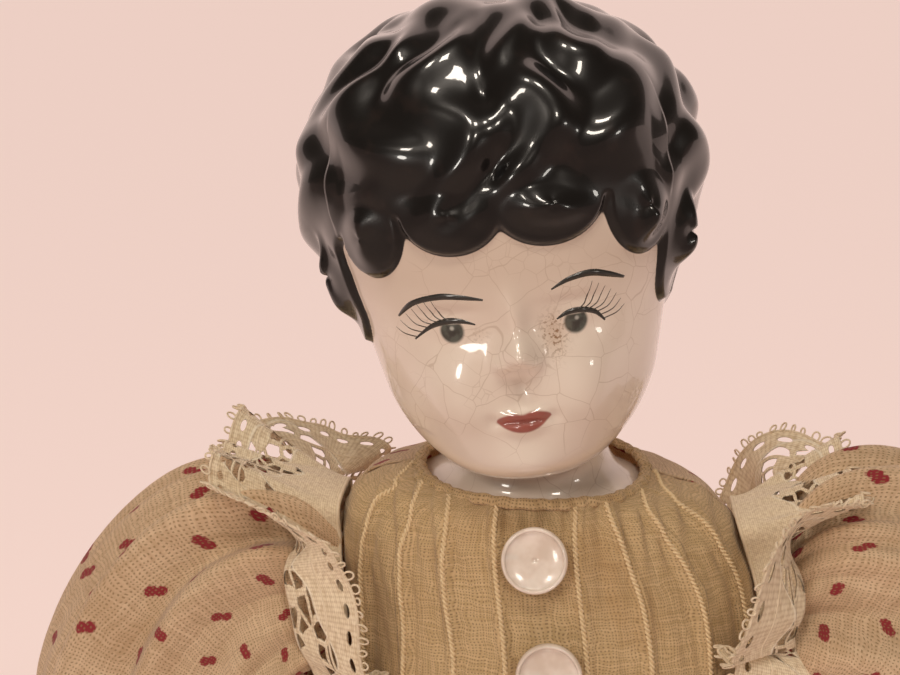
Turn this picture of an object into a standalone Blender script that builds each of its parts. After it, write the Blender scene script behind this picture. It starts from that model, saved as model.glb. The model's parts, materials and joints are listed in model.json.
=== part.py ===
"""A china shoulder-head doll on a stuffed cloth body, dressed in dotted voile with lace ruffles.

World frame: millimetres scaled to metres, +Z up, origin on the floor between the boot soles,
the doll faces -Y, its own left side is +X. Every piece is one closed solid.
"""

import math

import bmesh
import bpy
import numpy as np

MM = 0.001
GAP = 0.3
SIDES = {"left": 1.0, "right": -1.0}

# driving dimensions, millimetres and degrees
CHIN_Z = 350.0
HEAD_LEAN = -8.0
HEAD_TURN = 3.0
HEAD_PIVOT_Z = -4.0
NECK_BLEND = (-9.0, 1.0)
SWAY = -4.5
SWAY_SPAN = (316.0, 348.0)
CHINA_WALL = 2.6
HAIR_RELIEF = 2.4
HEAD_COLUMNS = 40

SHOULDER_X = 35.2
SHOULDER_Z = 318.0
ARM_START_X = 46.0
ARM_SPREAD = 14.0
ELBOW_ALONG = 60.0
HIP_X = 15.6
HIP_Z = 205.0
KNEE_Z = 115.0
SEAM_RADIUS = 0.5
SEAM_CLEAR = 0.8
WEDGE_EDGE = 0.75

CLOTH = 0.8
BUTTON_RADIUS = 5.0
BUTTON_THICK = 2.0
BUTTON_TOP_Z = 336.0
BUTTON_PITCH = 16.0
BUTTON_COUNT = 5
PLACKET_HALF = 5.65
BODY_POWER = 2.2
AROUND = 30
LIMB_AROUND = 14

# the stuffed torso: height, half width, depth in front and behind
TORSO = [
    (HIP_Z + SEAM_CLEAR, 27.0, WEDGE_EDGE, WEDGE_EDGE),
    (215.0, 28.0, 8.2, 8.2),
    (226.0, 27.5, 15.0, 15.6),
    (238.0, 25.0, 15.5, 16.0),
    (250.0, 21.0, 14.6, 14.6),
    (262.0, 21.0, 15.0, 14.6),
    (280.0, 25.0, 16.2, 15.4),
    (300.0, 26.5, 15.4, 14.8),
    (312.0, 26.0, 13.8, 13.6),
    (322.0, 24.0, 12.0, 12.0),
    (328.0, 18.0, 9.5, 9.5),
    (331.0, 9.0, 6.0, 6.0),
]
# the outside of the bodice, waist to neckline
BODICE = [
    (256.3, 24.0, 18.5, 18.0),
    (262.0, 27.5, 21.5, 20.0),
    (275.0, 31.5, 25.0, 22.5),
    (290.0, 33.8, 27.0, 24.0),
    (304.0, 34.4, 27.0, 24.5),
    (318.0, 34.4, 25.0, 23.0),
    (328.0, 33.4, 21.8, 20.6),
    (336.0, 29.0, 18.9, 18.4),
    (341.0, 21.5, 17.0, 16.8),
    (345.5, 16.2, 15.6, 15.4),
]
# the outside of the skirt, waist to hem
SKIRT = [
    (250.0, 24.6, 18.6, 18.6),
    (246.0, 30.0, 23.0, 23.0),
    (238.0, 36.0, 28.0, 28.0),
    (225.0, 41.0, 33.0, 33.0),
    (203.0, 45.5, 38.0, 38.0),
    (150.0, 54.0, 47.0, 47.0),
    (100.0, 61.0, 54.0, 54.0),
    (75.0, 64.0, 57.0, 57.0),
]
# the outside of the petticoat, waist to hem
PETTICOAT = [
    (245.7, 23.6, 17.6, 17.6),
    (240.0, 30.0, 23.0, 23.0),
    (225.0, 38.0, 30.6, 30.6),
    (203.0, 43.0, 35.5, 35.5),
    (150.0, 52.0, 45.0, 45.0),
    (100.0, 59.0, 52.0, 52.0),
    (84.0, 61.0, 54.0, 54.0),
]

# head profiles below the crown, heights above the chin: (height, distance from the head axis)
FRONT_PROFILE = [
    (66.5, 0.0), (64.5, 10.0), (57.5, 20.5), (47.0, 25.4), (38.0, 26.2), (30.0, 25.9),
    (24.5, 24.6), (19.5, 25.2), (15.0, 25.2), (10.5, 25.0), (6.0, 23.8), (2.8, 23.6),
    (0.4, 20.0), (-1.2, 15.0), (-2.6, 12.0), (-7.5, 11.4), (-11.0, 13.2), (-15.0, 16.2),
    (-21.0, 18.0), (-29.0, 19.0), (-38.0, 19.4),
]
SIDE_PROFILE = [
    (66.5, 0.0), (64.3, 11.0), (57.0, 22.0), (47.0, 27.6), (38.0, 27.8), (30.0, 25.6),
    (24.5, 23.2), (19.5, 21.2), (15.0, 19.8), (10.5, 17.9), (6.0, 14.6), (3.4, 12.6),
    (1.6, 11.9), (0.0, 11.7), (-2.4, 11.6), (-7.5, 12.0), (-10.5, 15.0), (-14.0, 22.0),
    (-19.0, 28.0), (-28.0, 30.6), (-38.0, 31.0),
]
BACK_PROFILE = [
    (66.5, 0.0), (64.3, 12.0), (57.0, 24.0), (47.0, 29.6), (38.0, 30.2), (30.0, 28.0),
    (24.5, 25.0), (19.5, 21.6), (15.0, 18.4), (10.5, 15.6), (6.0, 13.8), (3.4, 12.8),
    (1.6, 12.2), (0.0, 12.0), (-2.4, 11.8), (-7.5, 12.0), (-11.0, 14.0), (-15.0, 16.6),
    (-21.0, 18.4), (-29.0, 19.2), (-38.0, 19.4),
]
# lower edge of the painted hair: degrees round from the front, height above the chin
HAIR_EDGE = [
    (0.0, 36.5), (6.0, 34.0), (16.0, 33.6), (22.0, 36.6), (30.0, 31.5), (40.0, 31.5),
    (48.0, 27.0), (60.0, 21.5), (80.0, 18.0), (110.0, 12.0), (180.0, 7.0),
]


# ---------------------------------------------------------------- shape helpers
def at_height(table, z):
    """Half width and front and back depth of a tabled body shape at height z."""
    rows = sorted(table)
    heights = [row[0] for row in rows]
    return tuple(float(np.interp(z, heights, [row[k] for row in rows])) for k in (1, 2, 3))


def oval(z, half_width, front, back, count=AROUND, power=2.0, cx=0.0):
    """A level loop whose front and back halves have their own depth."""
    loop = []
    for i in range(count):
        angle = 2.0 * math.pi * i / count
        c, s = math.cos(angle), math.sin(angle)
        x = half_width * math.copysign(abs(c) ** (2.0 / power), c)
        depth = front if s < 0.0 else back
        y = depth * math.copysign(abs(s) ** (2.0 / power), s)
        loop.append((cx + x, y, z))
    return loop


def ring(centre, across, beyond, half_across, half_beyond, count=LIMB_AROUND):
    """A loop round a centre in the plane of two unit directions."""
    loop = []
    for i in range(count):
        angle = 2.0 * math.pi * i / count
        c, s = half_across * math.cos(angle), half_beyond * math.sin(angle)
        loop.append(tuple(centre[k] + across[k] * c + beyond[k] * s for k in range(3)))
    return loop


def rows_to_mesh(rows, wrap_rows=False, wrap_columns=True):
    """Vertices and quads of a grid of points."""
    count = len(rows[0])
    points = [p for row in rows for p in row]
    faces = []
    row_steps = len(rows) if wrap_rows else len(rows) - 1
    column_steps = count if wrap_columns else count - 1
    for i in range(row_steps):
        for j in range(column_steps):
            a = i * count + j
            b = i * count + (j + 1) % count
            below = ((i + 1) % len(rows)) * count
            faces.append((a, b, below + (j + 1) % count, below + j))
    return points, faces


def solid(loops):
    """A closed solid through a stack of loops, each end closed by a fan."""
    points, faces = rows_to_mesh(loops)
    count = len(loops[0])
    for start in (0, len(points) - count):
        rim = points[start:start + count]
        middle = tuple(sum(p[k] for p in rim) / count for k in range(3))
        points.append(middle)
        hub = len(points) - 1
        faces += [(start + j, start + (j + 1) % count, hub) for j in range(count)]
    return points, faces


def tube(outer, inner):
    """A closed wall between an outer and an inner stack of loops, open at both ends."""
    return rows_to_mesh(outer + inner[::-1], wrap_rows=True)


def panel(outer, inner):
    """A closed wall between two open grids of points."""
    rows = [out_row + in_row[::-1] for out_row, in_row in zip(outer, inner)]
    points, faces = rows_to_mesh(rows)
    count = len(outer[0])
    width = 2 * count
    for base in (0, (len(rows) - 1) * width):
        for j in range(count - 1):
            faces.append((base + j, base + j + 1, base + width - 2 - j, base + width - 1 - j))
    return points, faces


def torus(centre, along, outward, half_along, half_outward, thickness, steps=14, sides=5):
    """A closed oval ring of round cord lying in the plane of two unit directions."""
    normal = np.cross(along, outward)
    loops = []
    for i in range(steps):
        angle = 2.0 * math.pi * i / steps
        radial = np.array(along) * math.cos(angle) + np.array(outward) * math.sin(angle)
        spine = (np.array(centre) + np.array(along) * half_along * math.cos(angle)
                 + np.array(outward) * half_outward * math.sin(angle))
        loops.append(ring(spine, radial, normal, thickness, thickness, sides))
    return rows_to_mesh(loops, wrap_rows=True)


def lathe(profile, count):
    """A turned disc with its face toward +Z, from (radius, height) steps."""
    loops = [ring((0, 0, z), (1, 0, 0), (0, 1, 0), r, r, count) for r, z in profile]
    return solid(loops)


# ---------------------------------------------------------------- scene helpers
def clear_scene():
    """Remove every startup object."""
    for item in list(bpy.data.objects):
        bpy.data.objects.remove(item, do_unlink=True)


def finish(name, colour, roughness):
    """A plain material, shared by name."""
    existing = bpy.data.materials.get(name)
    if existing:
        return existing
    material = bpy.data.materials.new(name)
    material.use_nodes = True
    shader = material.node_tree.nodes["Principled BSDF"]
    shader.inputs["Base Color"].default_value = (*colour, 1.0)
    shader.inputs["Roughness"].default_value = roughness
    shader.inputs["Metallic"].default_value = 0.0
    return material


def china():
    """White glazed china."""
    return finish("glazed_china", (0.78, 0.73, 0.66), 0.12)


def body_cloth():
    """Plain cotton of the stuffed body."""
    return finish("body_cotton", (0.72, 0.62, 0.48), 0.9)


def cream_voile():
    """Cream tucked voile of the bodice."""
    return finish("cream_voile", (0.62, 0.45, 0.27), 0.9)


def dotted_voile():
    """Thin dotted voile of the sleeves and skirt."""
    return finish("dotted_voile", (0.66, 0.45, 0.28), 0.9)


def white_cotton():
    """Underclothes cotton."""
    return finish("white_cotton", (0.76, 0.71, 0.62), 0.9)


def lace_thread():
    """Cream cotton lace."""
    return finish("cream_lace", (0.66, 0.54, 0.38), 0.85)


def string():
    """Waxed linen string."""
    return finish("linen_string", (0.55, 0.44, 0.30), 0.8)


def pearl():
    """Mother-of-pearl button shell."""
    return finish("pearl_shell", (0.80, 0.70, 0.60), 0.25)


def add_piece(name, shape, material, origin=(0.0, 0.0, 0.0), sharp=50.0, rotation=(0.0, 0.0, 0.0)):
    """Make one named object whose points are given about its own origin in millimetres."""
    points, faces = shape
    mesh = bpy.data.meshes.new(name)
    mesh.from_pydata([tuple(c * MM for c in p) for p in points], [], faces)
    work = bmesh.new()
    work.from_mesh(mesh)
    bmesh.ops.recalc_face_normals(work, faces=work.faces)
    work.to_mesh(mesh)
    work.free()
    mesh.shade_smooth()
    mesh.set_sharp_from_angle(angle=math.radians(sharp))
    mesh.materials.append(material)
    piece = bpy.data.objects.new(name, mesh)
    piece.location = tuple(c * MM for c in origin)
    piece.rotation_euler = rotation
    bpy.context.scene.collection.objects.link(piece)
    return piece


def about(shape, origin):
    """The same shape with its points given about an origin."""
    points, faces = shape
    return [tuple(p[k] - origin[k] for k in range(3)) for p in points], faces


def sway(z):
    """How far the neck and the top of the dress settle sideways at a height."""
    low, high = SWAY_SPAN
    t = min(1.0, max(0.0, (z - low) / (high - low)))
    return SWAY * t * t * (3.0 - 2.0 * t)


def swayed(shape):
    """A shape of the upper torso shifted sideways by the sway at each height."""
    points, faces = shape
    return [(p[0] + sway(p[2]), p[1], p[2]) for p in points], faces


def add_world_piece(name, shape, material, origin=(0.0, 0.0, 0.0), sharp=50.0):
    """Make one object from world points, with its own origin on a joint axis."""
    return add_piece(name, about(shape, origin), material, origin, sharp)


def cut(piece, name, shape):
    """Cut a hidden shape out of a piece."""
    cutter = bpy.data.objects.get(name) or add_piece(name, shape, string())
    cutter.hide_render = True
    cutter.display_type = "WIRE"
    boolean = piece.modifiers.new(name, "BOOLEAN")
    boolean.operation = "DIFFERENCE"
    boolean.solver = "EXACT"
    boolean.object = cutter


def rod_between(start, end, radius, count=16):
    """A plain round rod between two points on a line along X, Y or Z."""
    line = np.array(end, float) - np.array(start, float)
    line /= np.linalg.norm(line)
    helper = np.array((0.0, 0.0, 1.0)) if abs(line[2]) < 0.9 else np.array((0.0, 1.0, 0.0))
    across = np.cross(line, helper)
    across /= np.linalg.norm(across)
    beyond = np.cross(line, across)
    return solid([ring(start, across, beyond, radius, radius, count),
                  ring(end, across, beyond, radius, radius, count)])


def joined(shapes):
    """Several shapes in one list of points and faces."""
    points, faces = [], []
    for more_points, more_faces in shapes:
        base = len(points)
        points += more_points
        faces += [tuple(i + base for i in face) for face in more_faces]
    return points, faces


# ---------------------------------------------------------------- head
def lean_point(x, y, z):
    """Turn and lean the head about the neck, fading out down to the shoulder plate."""
    low, high = NECK_BLEND
    t = min(1.0, max(0.0, (z - low) / (high - low)))
    t = t * t * (3.0 - 2.0 * t)
    turn = math.radians(HEAD_TURN) * t
    lean = math.radians(HEAD_LEAN) * t
    x, y = x * math.cos(turn) - y * math.sin(turn), x * math.sin(turn) + y * math.cos(turn)
    up = z - HEAD_PIVOT_Z
    x, up = x * math.cos(lean) + up * math.sin(lean), up * math.cos(lean) - x * math.sin(lean)
    return (x, y, CHIN_Z + HEAD_PIVOT_Z + up)


def head_angles(count):
    """Angles round from the front, closer together over the face."""
    angles = []
    for i in range(count):
        even = 2.0 * math.pi * i / count - math.pi
        angles.append(even - 0.45 * math.sin(even))
    return angles


def bump(x, z, cx, cz, wide, high):
    """A smooth hill of height one."""
    return math.exp(-((x - cx) / wide) ** 2 - ((z - cz) / high) ** 2)


def face_relief(x, z):
    """How far the features stand out of the face: nose, lips, chin, cheeks and eye hollows."""
    side = abs(x)
    relief = 3.4 * bump(x, z, 0.0, 17.2, 2.5, 2.6)
    relief += 1.5 * bump(x, z, 0.0, 22.5, 1.9, 4.6)
    relief += 1.1 * bump(x, z, 0.0, 10.8, 4.2, 2.2)
    relief += 1.0 * bump(x, z, 0.0, 2.8, 5.0, 2.6)
    relief += 0.9 * bump(side, z, 10.5, 15.0, 5.0, 5.0)
    relief -= 1.1 * bump(side, z, 8.8, 23.6, 3.6, 2.4)
    return relief


def head_point(angle, row, inward=0.0):
    """A point of the china surface; row counts down the profile tables."""
    front = math.cos(angle) > 0.0
    share = math.cos(angle) ** 2
    face = FRONT_PROFILE if front else BACK_PROFILE
    rows = range(len(SIDE_PROFILE))
    z_face = float(np.interp(row, rows, [p[0] for p in face]))
    r_face = float(np.interp(row, rows, [p[1] for p in face]))
    z_side = float(np.interp(row, rows, [p[0] for p in SIDE_PROFILE]))
    r_side = float(np.interp(row, rows, [p[1] for p in SIDE_PROFILE]))
    z = z_face * share + z_side * (1.0 - share)
    power = 2.3 if front else 2.0
    across = abs(math.sin(angle)) / max(r_side, 0.01)
    ahead = abs(math.cos(angle)) / max(r_face, 0.01)
    radius = (across ** power + ahead ** power) ** (-1.0 / power)
    x = radius * math.sin(angle)
    if inward == 0.0:
        edge_angles = [p[0] for p in HAIR_EDGE]
        edge = float(np.interp(abs(math.degrees(angle)), edge_angles, [p[1] for p in HAIR_EDGE]))
        hair = min(1.0, max(0.0, (z - edge + 0.8) / 1.6))
        crown = 0.3 if row < 0.5 else 1.0
        radius += HAIR_RELIEF * hair * crown
        if row < 1.5:
            z += HAIR_RELIEF * (1.5 - row) / 1.5
        if front and hair < 1.0:
            radius += face_relief(x, z) * (1.0 - hair)
    radius = max(radius - inward, 0.0)
    return lean_point(radius * math.sin(angle), -radius * math.cos(angle), z)


def build_shoulder_head():
    """Hollow china head, neck and shoulder plate in one casting, open below."""
    last = len(SIDE_PROFILE) - 1
    outer_rows = [0.4, 1.0, 1.5, 2.0, 2.7, 3.4, 4.0, 4.4, 5.0, 5.5, 6.0, 6.6, 7.2]
    outer_rows += [7.8, 8.4, 9.0, 9.6, 10.3, 11.0, 11.6, 12.4, 14.0, 15.0]
    outer_rows += [16.0, 17.0, 18.0, 19.0, float(last)]
    inner_rows = [19.95, 18.6, 17.6, 15.4, 12.9, 6.0, 2.5]
    angles = head_angles(HEAD_COLUMNS)
    outer = [[head_point(a, r) for a in angles] for r in outer_rows]
    inner = [[head_point(a, r, CHINA_WALL) for a in angles] for r in inner_rows]
    head = add_world_piece("shoulder_head", swayed(solid(outer + inner)), china(), (0.0, 0.0, 0.0), 60.0)
    holes = [rod_between(*hole_line(sx, sy), 1.6, 12) for sx in (1, -1) for sy in (1, -1)]
    cut(head, "sew_hole_cutter", joined(holes))


def hole_place(sx, sy):
    """Middle of the plate wall at a sewing hole and the direction straight out of the wall."""
    angle = math.atan2(14.0, 19.0) if sy < 0 else math.atan2(14.0, -19.0)
    x, y, z = head_point(angle, 19.4, CHINA_WALL / 2.0)
    outward = np.array((x / 31.0 ** 2, y / 19.4 ** 2, 0.0))
    outward /= np.linalg.norm(outward)
    return np.array((sx * x, y, z)), np.array((sx * outward[0], outward[1], 0.0))


def hole_line(sx, sy):
    """Two ends of a sewing hole's centre line."""
    place, outward = hole_place(sx, sy)
    return place - outward * 4.0, place + outward * 4.0


def build_plate_stitches():
    """Four string loops, each through a sewing hole and round the lower edge of the plate."""
    for sx, side in ((1, "left"), (-1, "right")):
        for sy, end in ((-1, "front"), (1, "back")):
            place, outward = hole_place(sx, sy)
            edge_z = CHIN_Z - 38.0
            middle_z = (place[2] + edge_z - GAP - 0.6) / 2.0
            centre = (place[0], place[1], middle_z)
            half_z = place[2] - middle_z
            shape = torus(centre, (0, 0, 1), tuple(outward), half_z, 2.7, 0.45)
            add_world_piece(f"plate_stitch_{end}_{side}", shape, string())


# ---------------------------------------------------------------- body and limbs
def build_torso():
    """Stuffed cloth torso, flat-sewn along the hips."""
    loops = [oval(z, w, f, b, AROUND, 2.0) for z, w, f, b in TORSO]
    add_world_piece("torso_body", swayed(solid(loops)), body_cloth())


def arm_place(side, along):
    """A point of the straight part of the arm, measured from the shoulder."""
    spread = math.radians(ARM_SPREAD)
    return (side * (ARM_START_X + along * math.sin(spread)), 0.0,
            SHOULDER_Z - along * math.cos(spread))


def arm_ring(side, along, half_width, half_depth, inner=None, count=LIMB_AROUND):
    """A loop across the straight arm; inner gives the half of the loop nearest the body its own size."""
    return bent_ring(side, arm_place(1.0, along), 90.0 - ARM_SPREAD, half_width, half_depth,
                     inner, count)


def bent_ring(side, place, slope, half_width, half_depth, inner=None, count=LIMB_AROUND):
    """A loop across a path in the X-Z plane that runs outward and down at a slope in degrees."""
    slope = math.radians(slope)
    loop = []
    for i in range(count):
        angle = 2.0 * math.pi * i / count
        c = math.cos(angle)
        width = half_width if c > 0.0 or inner is None else inner
        x = place[0] + math.sin(slope) * width * c
        z = place[2] + math.cos(slope) * width * c
        loop.append((side * x, half_depth * math.sin(angle), z))
    return loop


def elbow_centre(side):
    """Middle of the elbow seam."""
    return arm_place(side, ELBOW_ALONG)


def build_upper_arm(name, side):
    """Stuffed upper arm: a round root through the armhole, then down to the flat elbow seam."""
    end = ELBOW_ALONG - SEAM_CLEAR
    loops = [
        bent_ring(side, (31.9, 0, SHOULDER_Z), 0.0, 5.0, 5.0),
        bent_ring(side, (33.5, 0, SHOULDER_Z), 0.0, 6.0, 6.0),
        bent_ring(side, (38.5, 0, SHOULDER_Z), 8.0, 7.0, 7.0),
        bent_ring(side, (43.6, 0, SHOULDER_Z - 2.2), 38.0, 7.8, 7.8, 7.2),
        bent_ring(side, (46.6, 0, SHOULDER_Z - 7.2), 66.0, 8.2, 8.2, 7.6),
        arm_ring(side, 16.0, 8.2, 8.2),
        arm_ring(side, 34.0, 8.2, 8.2),
        arm_ring(side, 47.6, 8.0, 8.0),
        arm_ring(side, 53.0, 8.0, 4.7),
        arm_ring(side, end, 7.6, WEDGE_EDGE),
    ]
    pivot = (side * SHOULDER_X, 0.0, SHOULDER_Z)
    add_world_piece(f"upper_arm_{name}", solid(loops), body_cloth(), pivot)
    seam = elbow_centre(side)
    spread = math.radians(ARM_SPREAD)
    reach = np.array((side * math.cos(spread), 0.0, math.sin(spread))) * 7.2
    rod = rod_between(np.array(seam) - reach, np.array(seam) + reach, SEAM_RADIUS, 8)
    add_world_piece(f"elbow_seam_{name}", rod, string(), seam)


def build_forearm(name, side):
    """Cloth below the elbow, tied over the grooved top of a china forearm with a closed hand."""
    pivot = elbow_centre(side)
    start = ELBOW_ALONG + SEAM_CLEAR
    cloth = [
        arm_ring(side, start, 7.0, WEDGE_EDGE),
        arm_ring(side, 66.0, 7.2, 4.0),
        arm_ring(side, 71.4, 7.2, 7.2),
        arm_ring(side, 77.6, 7.4, 7.4),
        arm_ring(side, 77.6, 6.7, 6.7),
        arm_ring(side, 72.2, 6.7, 6.7),
    ]
    add_world_piece(f"elbow_cloth_{name}", solid(cloth), body_cloth(), pivot)
    arm = [(72.6, 5.6, 5.6), (73.1, 6.2, 6.2), (74.3, 6.2, 6.2), (75.2, 5.3, 5.3), (76.1, 6.2, 6.2),
           (85.0, 6.0, 6.0), (95.0, 5.2, 5.2), (104.0, 3.5, 4.0), (107.5, 3.2, 4.3), (112.0, 3.3, 5.8),
           (117.0, 3.1, 6.0), (122.0, 2.6, 5.3), (126.5, 2.0, 3.8), (128.0, 1.2, 2.2)]
    add_world_piece(f"forearm_{name}", solid([arm_ring(side, *step) for step in arm]), china(), pivot)
    spread = math.radians(ARM_SPREAD)
    across = (side * math.cos(spread), 0.0, math.sin(spread))
    tie = torus(arm_place(side, 75.2), across, (0, 1, 0), 8.25, 8.25, 0.55, 20)
    add_world_piece(f"arm_tie_{name}", tie, string(), pivot)


def build_leg(name, side):
    """Thigh and calf of stuffed cloth with flat seams, and a china lower leg in a painted boot."""
    cx = side * HIP_X
    hip, knee = (cx, 0.0, HIP_Z), (cx, 0.0, KNEE_Z)

    def level(z, width, front, back=None):
        """One level loop of this leg."""
        return oval(z, width, front, front if back is None else back, LIMB_AROUND, 2.0, cx)

    thigh = [level(HIP_Z - SEAM_CLEAR, 10.8, WEDGE_EDGE), level(197.0, 11.2, 6.4),
             level(189.5, 11.3, 11.3), level(160.0, 10.8, 10.8), level(136.0, 9.4, 9.4),
             level(128.5, 9.0, 8.2), level(KNEE_Z + SEAM_CLEAR, 8.4, WEDGE_EDGE)]
    add_world_piece(f"thigh_{name}", solid(thigh), body_cloth(), hip)
    for label, place, reach in (("hip_seam", hip, 10.4), ("knee_seam", knee, 8.0)):
        rod = rod_between((cx - reach, 0.0, place[2]), (cx + reach, 0.0, place[2]), SEAM_RADIUS, 8)
        add_world_piece(f"{label}_{name}", rod, string(), place)
    calf = [level(KNEE_Z - SEAM_CLEAR, 8.4, WEDGE_EDGE), level(108.0, 8.4, 4.8),
            level(102.5, 8.4, 8.3), level(88.2, 8.8, 8.8), level(88.2, 8.0, 8.0),
            level(94.2, 8.0, 8.0)]
    add_world_piece(f"calf_cloth_{name}", solid(calf), body_cloth(), knee)
    tie = torus((cx, 0.0, 90.6), (1, 0, 0), (0, 1, 0), 9.65, 9.65, 0.55, 20)
    add_world_piece(f"leg_tie_{name}", tie, string(), knee)
    shin = [level(93.8, 6.8, 6.8), level(93.2, 7.5, 7.5), level(91.6, 7.5, 7.5), level(90.6, 6.5, 6.5),
            level(89.6, 7.5, 7.5), level(78.0, 7.8, 7.8), level(64.0, 7.6, 7.4, 8.2),
            level(46.0, 6.0, 5.8, 6.4), level(33.0, 4.9, 5.0, 5.2), level(26.0, 5.1, 6.2, 5.6),
            level(19.0, 6.0, 10.5, 6.2), level(13.0, 6.9, 17.0, 6.6), level(8.5, 7.4, 20.8, 6.8),
            level(4.0, 7.5, 22.6, 6.7), level(1.0, 7.0, 22.2, 6.4), level(0.0, 6.5, 21.4, 5.9)]
    boot = add_world_piece(f"lower_leg_{name}", solid(shin), china(), knee)
    arches = joined([rod_between((s * 4.0, -3.2, -3.4), (s * 28.0, -3.2, -3.4), 5.0, 24) for s in (1, -1)])
    cut(boot, "heel_arch_cutter", arches)


# ---------------------------------------------------------------- dress
def shifted(row, offset):
    """A tabled body shape grown or shrunk by an offset."""
    z, width, front, back = row
    return z, width + offset, front + offset, back + offset


def wall(table, outer_offset, inner_offset, power=2.0):
    """A cloth tube following a tabled body shape."""
    outer = [oval(*shifted(row, outer_offset), AROUND, power) for row in table]
    inner = [oval(*shifted(row, inner_offset), AROUND, power) for row in table]
    return tube(outer, inner)


def surface_y(table, x, z, offset=0.0, front=True):
    """Depth of the tabled body surface at a width and height."""
    width, ahead, behind = at_height(table, z)
    width, depth = width + offset, (ahead if front else behind) + offset
    inside = max(0.0, 1.0 - abs(x / width) ** BODY_POWER)
    y = depth * inside ** (1.0 / BODY_POWER)
    return -y if front else y


def arc_row(row, offset, start, end, count):
    """Part of a level loop of the bodice between two angles in degrees, 270 being the front."""
    z, width, front, back = shifted(row, offset)
    points = []
    for i in range(count + 1):
        angle = math.radians(start + (end - start) * i / count)
        c, s = math.cos(angle), math.sin(angle)
        depth = front if s < 0.0 else back
        points.append((width * math.copysign(abs(c) ** (2.0 / BODY_POWER), c),
                       depth * math.copysign(abs(s) ** (2.0 / BODY_POWER), s), z))
    return points


def build_bodice():
    """Tucked front panel and two back panels, with round armholes cut through the side seams."""
    spans = {"bodice_front": (181.0, 359.0, 18), "bodice_back_left": (1.0, 89.2, 9),
             "bodice_back_right": (90.8, 179.0, 9)}
    reach = [rod_between((s * 27.0, 0.0, SHOULDER_Z), (s * 40.0, 0.0, SHOULDER_Z), 8.0, 24) for s in (1, -1)]
    armholes = joined(reach)
    for name, (start, end, count) in spans.items():
        outer = [arc_row(row, 0.0, start, end, count) for row in BODICE]
        inner = [arc_row(row, -CLOTH, start, end, count) for row in BODICE]
        piece = add_world_piece(name, swayed(panel(outer, inner)), cream_voile())
        cut(piece, "armhole_cutter", armholes)


def build_placket():
    """Flat centre-front strip that the pearl buttons are sewn to."""
    across = [PLACKET_HALF * k / 2.0 for k in range(-2, 3)]
    heights = [row[0] for row in BODICE if 258.0 < row[0] < 345.0]
    heights = [258.5] + heights + [344.0]
    outer = [[(x, surface_y(BODICE, x, z) - GAP - 0.7, z) for x in across] for z in heights]
    inner = [[(x, surface_y(BODICE, x, z) - GAP, z) for x in across] for z in heights]
    add_world_piece("placket", swayed(panel(outer, inner)), cream_voile())


def front_tilt(z, front=True):
    """Slope of the bodice at a height: radians that its face looks upward."""
    high = abs(surface_y(BODICE, 0.0, z + 3.0, 0.0, front))
    low = abs(surface_y(BODICE, 0.0, z - 3.0, 0.0, front))
    return math.atan2(low - high, 6.0)


def build_buttons():
    """Dished pearl buttons down the front and small ones down the back."""
    r, t = BUTTON_RADIUS, BUTTON_THICK
    dish = [(r * 0.86, 0.0), (r, t * 0.3), (r, t * 0.65), (r * 0.88, t), (r * 0.72, t * 0.72),
            (r * 0.2, t * 0.55)]
    for i in range(BUTTON_COUNT):
        z = BUTTON_TOP_Z - i * BUTTON_PITCH
        tilt = front_tilt(z)
        lift = GAP + 0.7 + 0.75
        place = (sway(z), surface_y(BODICE, 0.0, z) - lift * math.cos(tilt), z + lift * math.sin(tilt))
        add_piece(f"button_{i + 1}", lathe(dish, 18), pearl(), place, 35.0,
                  (math.radians(90.0) - tilt, 0.0, 0.0))
    small = [(2.2, 0.0), (2.6, 0.5), (2.6, 0.9), (2.2, 1.3), (0.8, 1.1)]
    for i in range(3):
        z = 332.0 - i * 28.0
        tilt = front_tilt(z, False)
        lift = 0.75
        depth = surface_y(BODICE, 0.0, z, 0.0, False) + lift * math.cos(tilt)
        place = (sway(z), depth, z + lift * math.sin(tilt))
        add_piece(f"back_button_{i + 1}", lathe(small, 12), pearl(), place, 35.0,
                  (tilt - math.radians(90.0), 0.0, 0.0))


def build_bands():
    """Neck binding, dress waistband and petticoat band."""
    neck = [(345.9, 16.0, 15.2, 15.0), (347.4, 15.6, 14.8, 14.6)]
    add_world_piece("neck_binding", swayed(wall(neck, 0.0, -CLOTH, BODY_POWER)), cream_voile())
    waist = [(250.4, 25.3, 19.4, 19.2), (253.0, 24.9, 19.0, 18.8), (255.9, 24.9, 19.2, 18.8)]
    add_world_piece("waistband", wall(waist, 0.3, -0.8), cream_voile())
    inner = [(246.1, 23.6, 17.6, 17.6), (249.3, 22.9, 16.9, 16.9)]
    add_world_piece("petticoat_band", wall(inner, 0.0, -0.9), white_cotton())


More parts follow.
